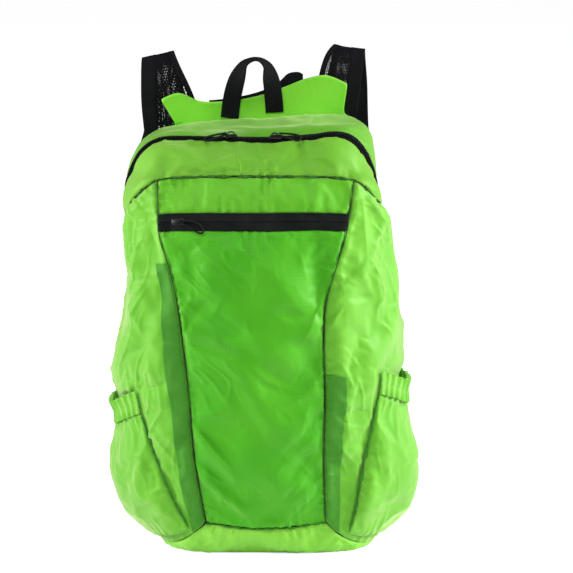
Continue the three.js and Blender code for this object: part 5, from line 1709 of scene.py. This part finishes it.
def stitch_row(points, normals, thick=0.42):
    """Places for stitches along points in metres, with a small gap between them."""
    line = Line(np.column_stack([points * 1000, normals]))
    count = max(int(line.length / STITCH_PITCH), 1)
    places = []
    for i in range(count):
        share = (i + 0.5) / count
        row = line.at(share)
        run = line.run(share)
        up = unit(row[3:])
        across = np.cross(up, run)
        places.append((row[:3] * 0.001, run * STITCH_LONG * 0.001, across * thick * 0.001, up * thick * 0.001))
    return places


def bead():
    bm = bmesh.new()
    bmesh.ops.create_uvsphere(bm, u_segments=6, v_segments=4, radius=0.5)
    bmesh.ops.rotate(bm, cent=(0, 0, 0), matrix=Matrix.Rotation(math.pi / 2, 3, "Y"), verts=bm.verts)
    return bm


green_rows = []
for side, start in TAPE_FROM.items():
    along = np.linspace(start + 0.005, 0.99, STITCH_READ)
    for depth in (0.14, 0.80):
        depths = np.full(STITCH_READ, TAPE_DEPTH * depth)
        green_rows += stitch_row(*seam_strip(side, along, depths, STITCH_LIFT))
repeated("green_stitches", bead(), green_rows, TAPE_GREEN)

black_rows = []
share = np.linspace(0.01, 0.99, STITCH_READ)
zip_rows = ((pocket_zip, forward, 0.0006, (0.06, 0.94)), (main_zip, upward, 0.0007, (-0.02, 1.02)))
for surface, away, lift, sides in zip_rows:
    for side in sides:
        points = in_frame(surface(share, np.full(STITCH_READ, side)))
        ups = outward(surface, share, np.full(STITCH_READ, min(max(side, 0), 1)), away(share))
        black_rows += stitch_row(points + ups * lift, ups, thick=0.35)
for strap in STRAP.values():
    along = np.linspace(0.01, 0.99, STRAP_READ)
    centre, across, normal, half = strap.frame(along)
    for place in (half - 1.6, half - (OUTER_LANE - 1.4), half - (2 * half - INNER_LANE + 1.2)):
        points = in_frame(centre + across * place[:, None])
        for face in (1, -1):
            black_rows += stitch_row(points + normal * face * 0.0009, normal * face, thick=0.4)
repeated("black_stitches", bead(), black_rows, BLACK_WEB)

# %% [markdown]
# ## Floor and light
# The floor is wide and flat, so that a view from any side ends in it. It and the surround shine
# white for the camera alone. The bag is lit by soft lamps from both sides, and from the front.

# %% Wide pale floor
FLOOR_GLOW = 0.75
bm = bmesh.new()
bmesh.ops.create_grid(bm, x_segments=1, y_segments=1, size=20)
floor_mesh = bpy.data.meshes.new("floor")
bm.to_mesh(floor_mesh)
bm.free()
floor_mesh.shade_smooth()
floor_material, floor_tree, floor_shader = plain_shader("pale floor", 0.9)
floor_shader.inputs["Base Color"].default_value = (0.93, 0.93, 0.93, 1)
floor_shader.inputs["Emission Color"].default_value = (1, 1, 1, 1)
seen = floor_tree.nodes.new("ShaderNodeLightPath").outputs["Is Camera Ray"]
floor_tree.links.new(maths(floor_tree, "MULTIPLY", seen, FLOOR_GLOW), floor_shader.inputs["Emission Strength"])
floor_mesh.materials.append(floor_material)
floor = bpy.data.objects.new("floor", floor_mesh)
bpy.context.scene.collection.objects.link(floor)

# %% Soft studio light: the surround for the eye, and four lamps as place, size and power
AROUND = 0.2
world = bpy.data.worlds.new("surround")
world.use_nodes = True
background = world.node_tree.nodes["Background"]
background.inputs[0].default_value = (1, 1, 1, 1)
seen = world.node_tree.nodes.new("ShaderNodeLightPath").outputs["Is Camera Ray"]
shine = maths(world.node_tree, "MULTIPLY_ADD", seen, 1 - AROUND, AROUND)
world.node_tree.links.new(shine, background.inputs[1])
bpy.context.scene.world = world

LIGHTS = {
    "left": ((-1.6, -0.2, 0.8), 0.7, 23),
    "right": ((1.6, -0.1, 0.9), 0.7, 36),
    "key": ((-0.5, -1.8, 1.8), 0.6, 14),
    "above": ((0.1, -1.3, 2.0), 1.0, 4),
}
for name, (place, size, power) in LIGHTS.items():
    data = bpy.data.lights.new(name, "AREA")
    data.size = size
    data.energy = power
    lamp = bpy.data.objects.new(name, data)
    lamp.location = place
    lamp.rotation_euler = (Vector((0, 0, 0.25)) - Vector(place)).to_track_quat("-Z", "Y").to_euler()
    bpy.context.scene.collection.objects.link(lamp)
bpy.context.scene.view_settings.view_transform = "Standard"
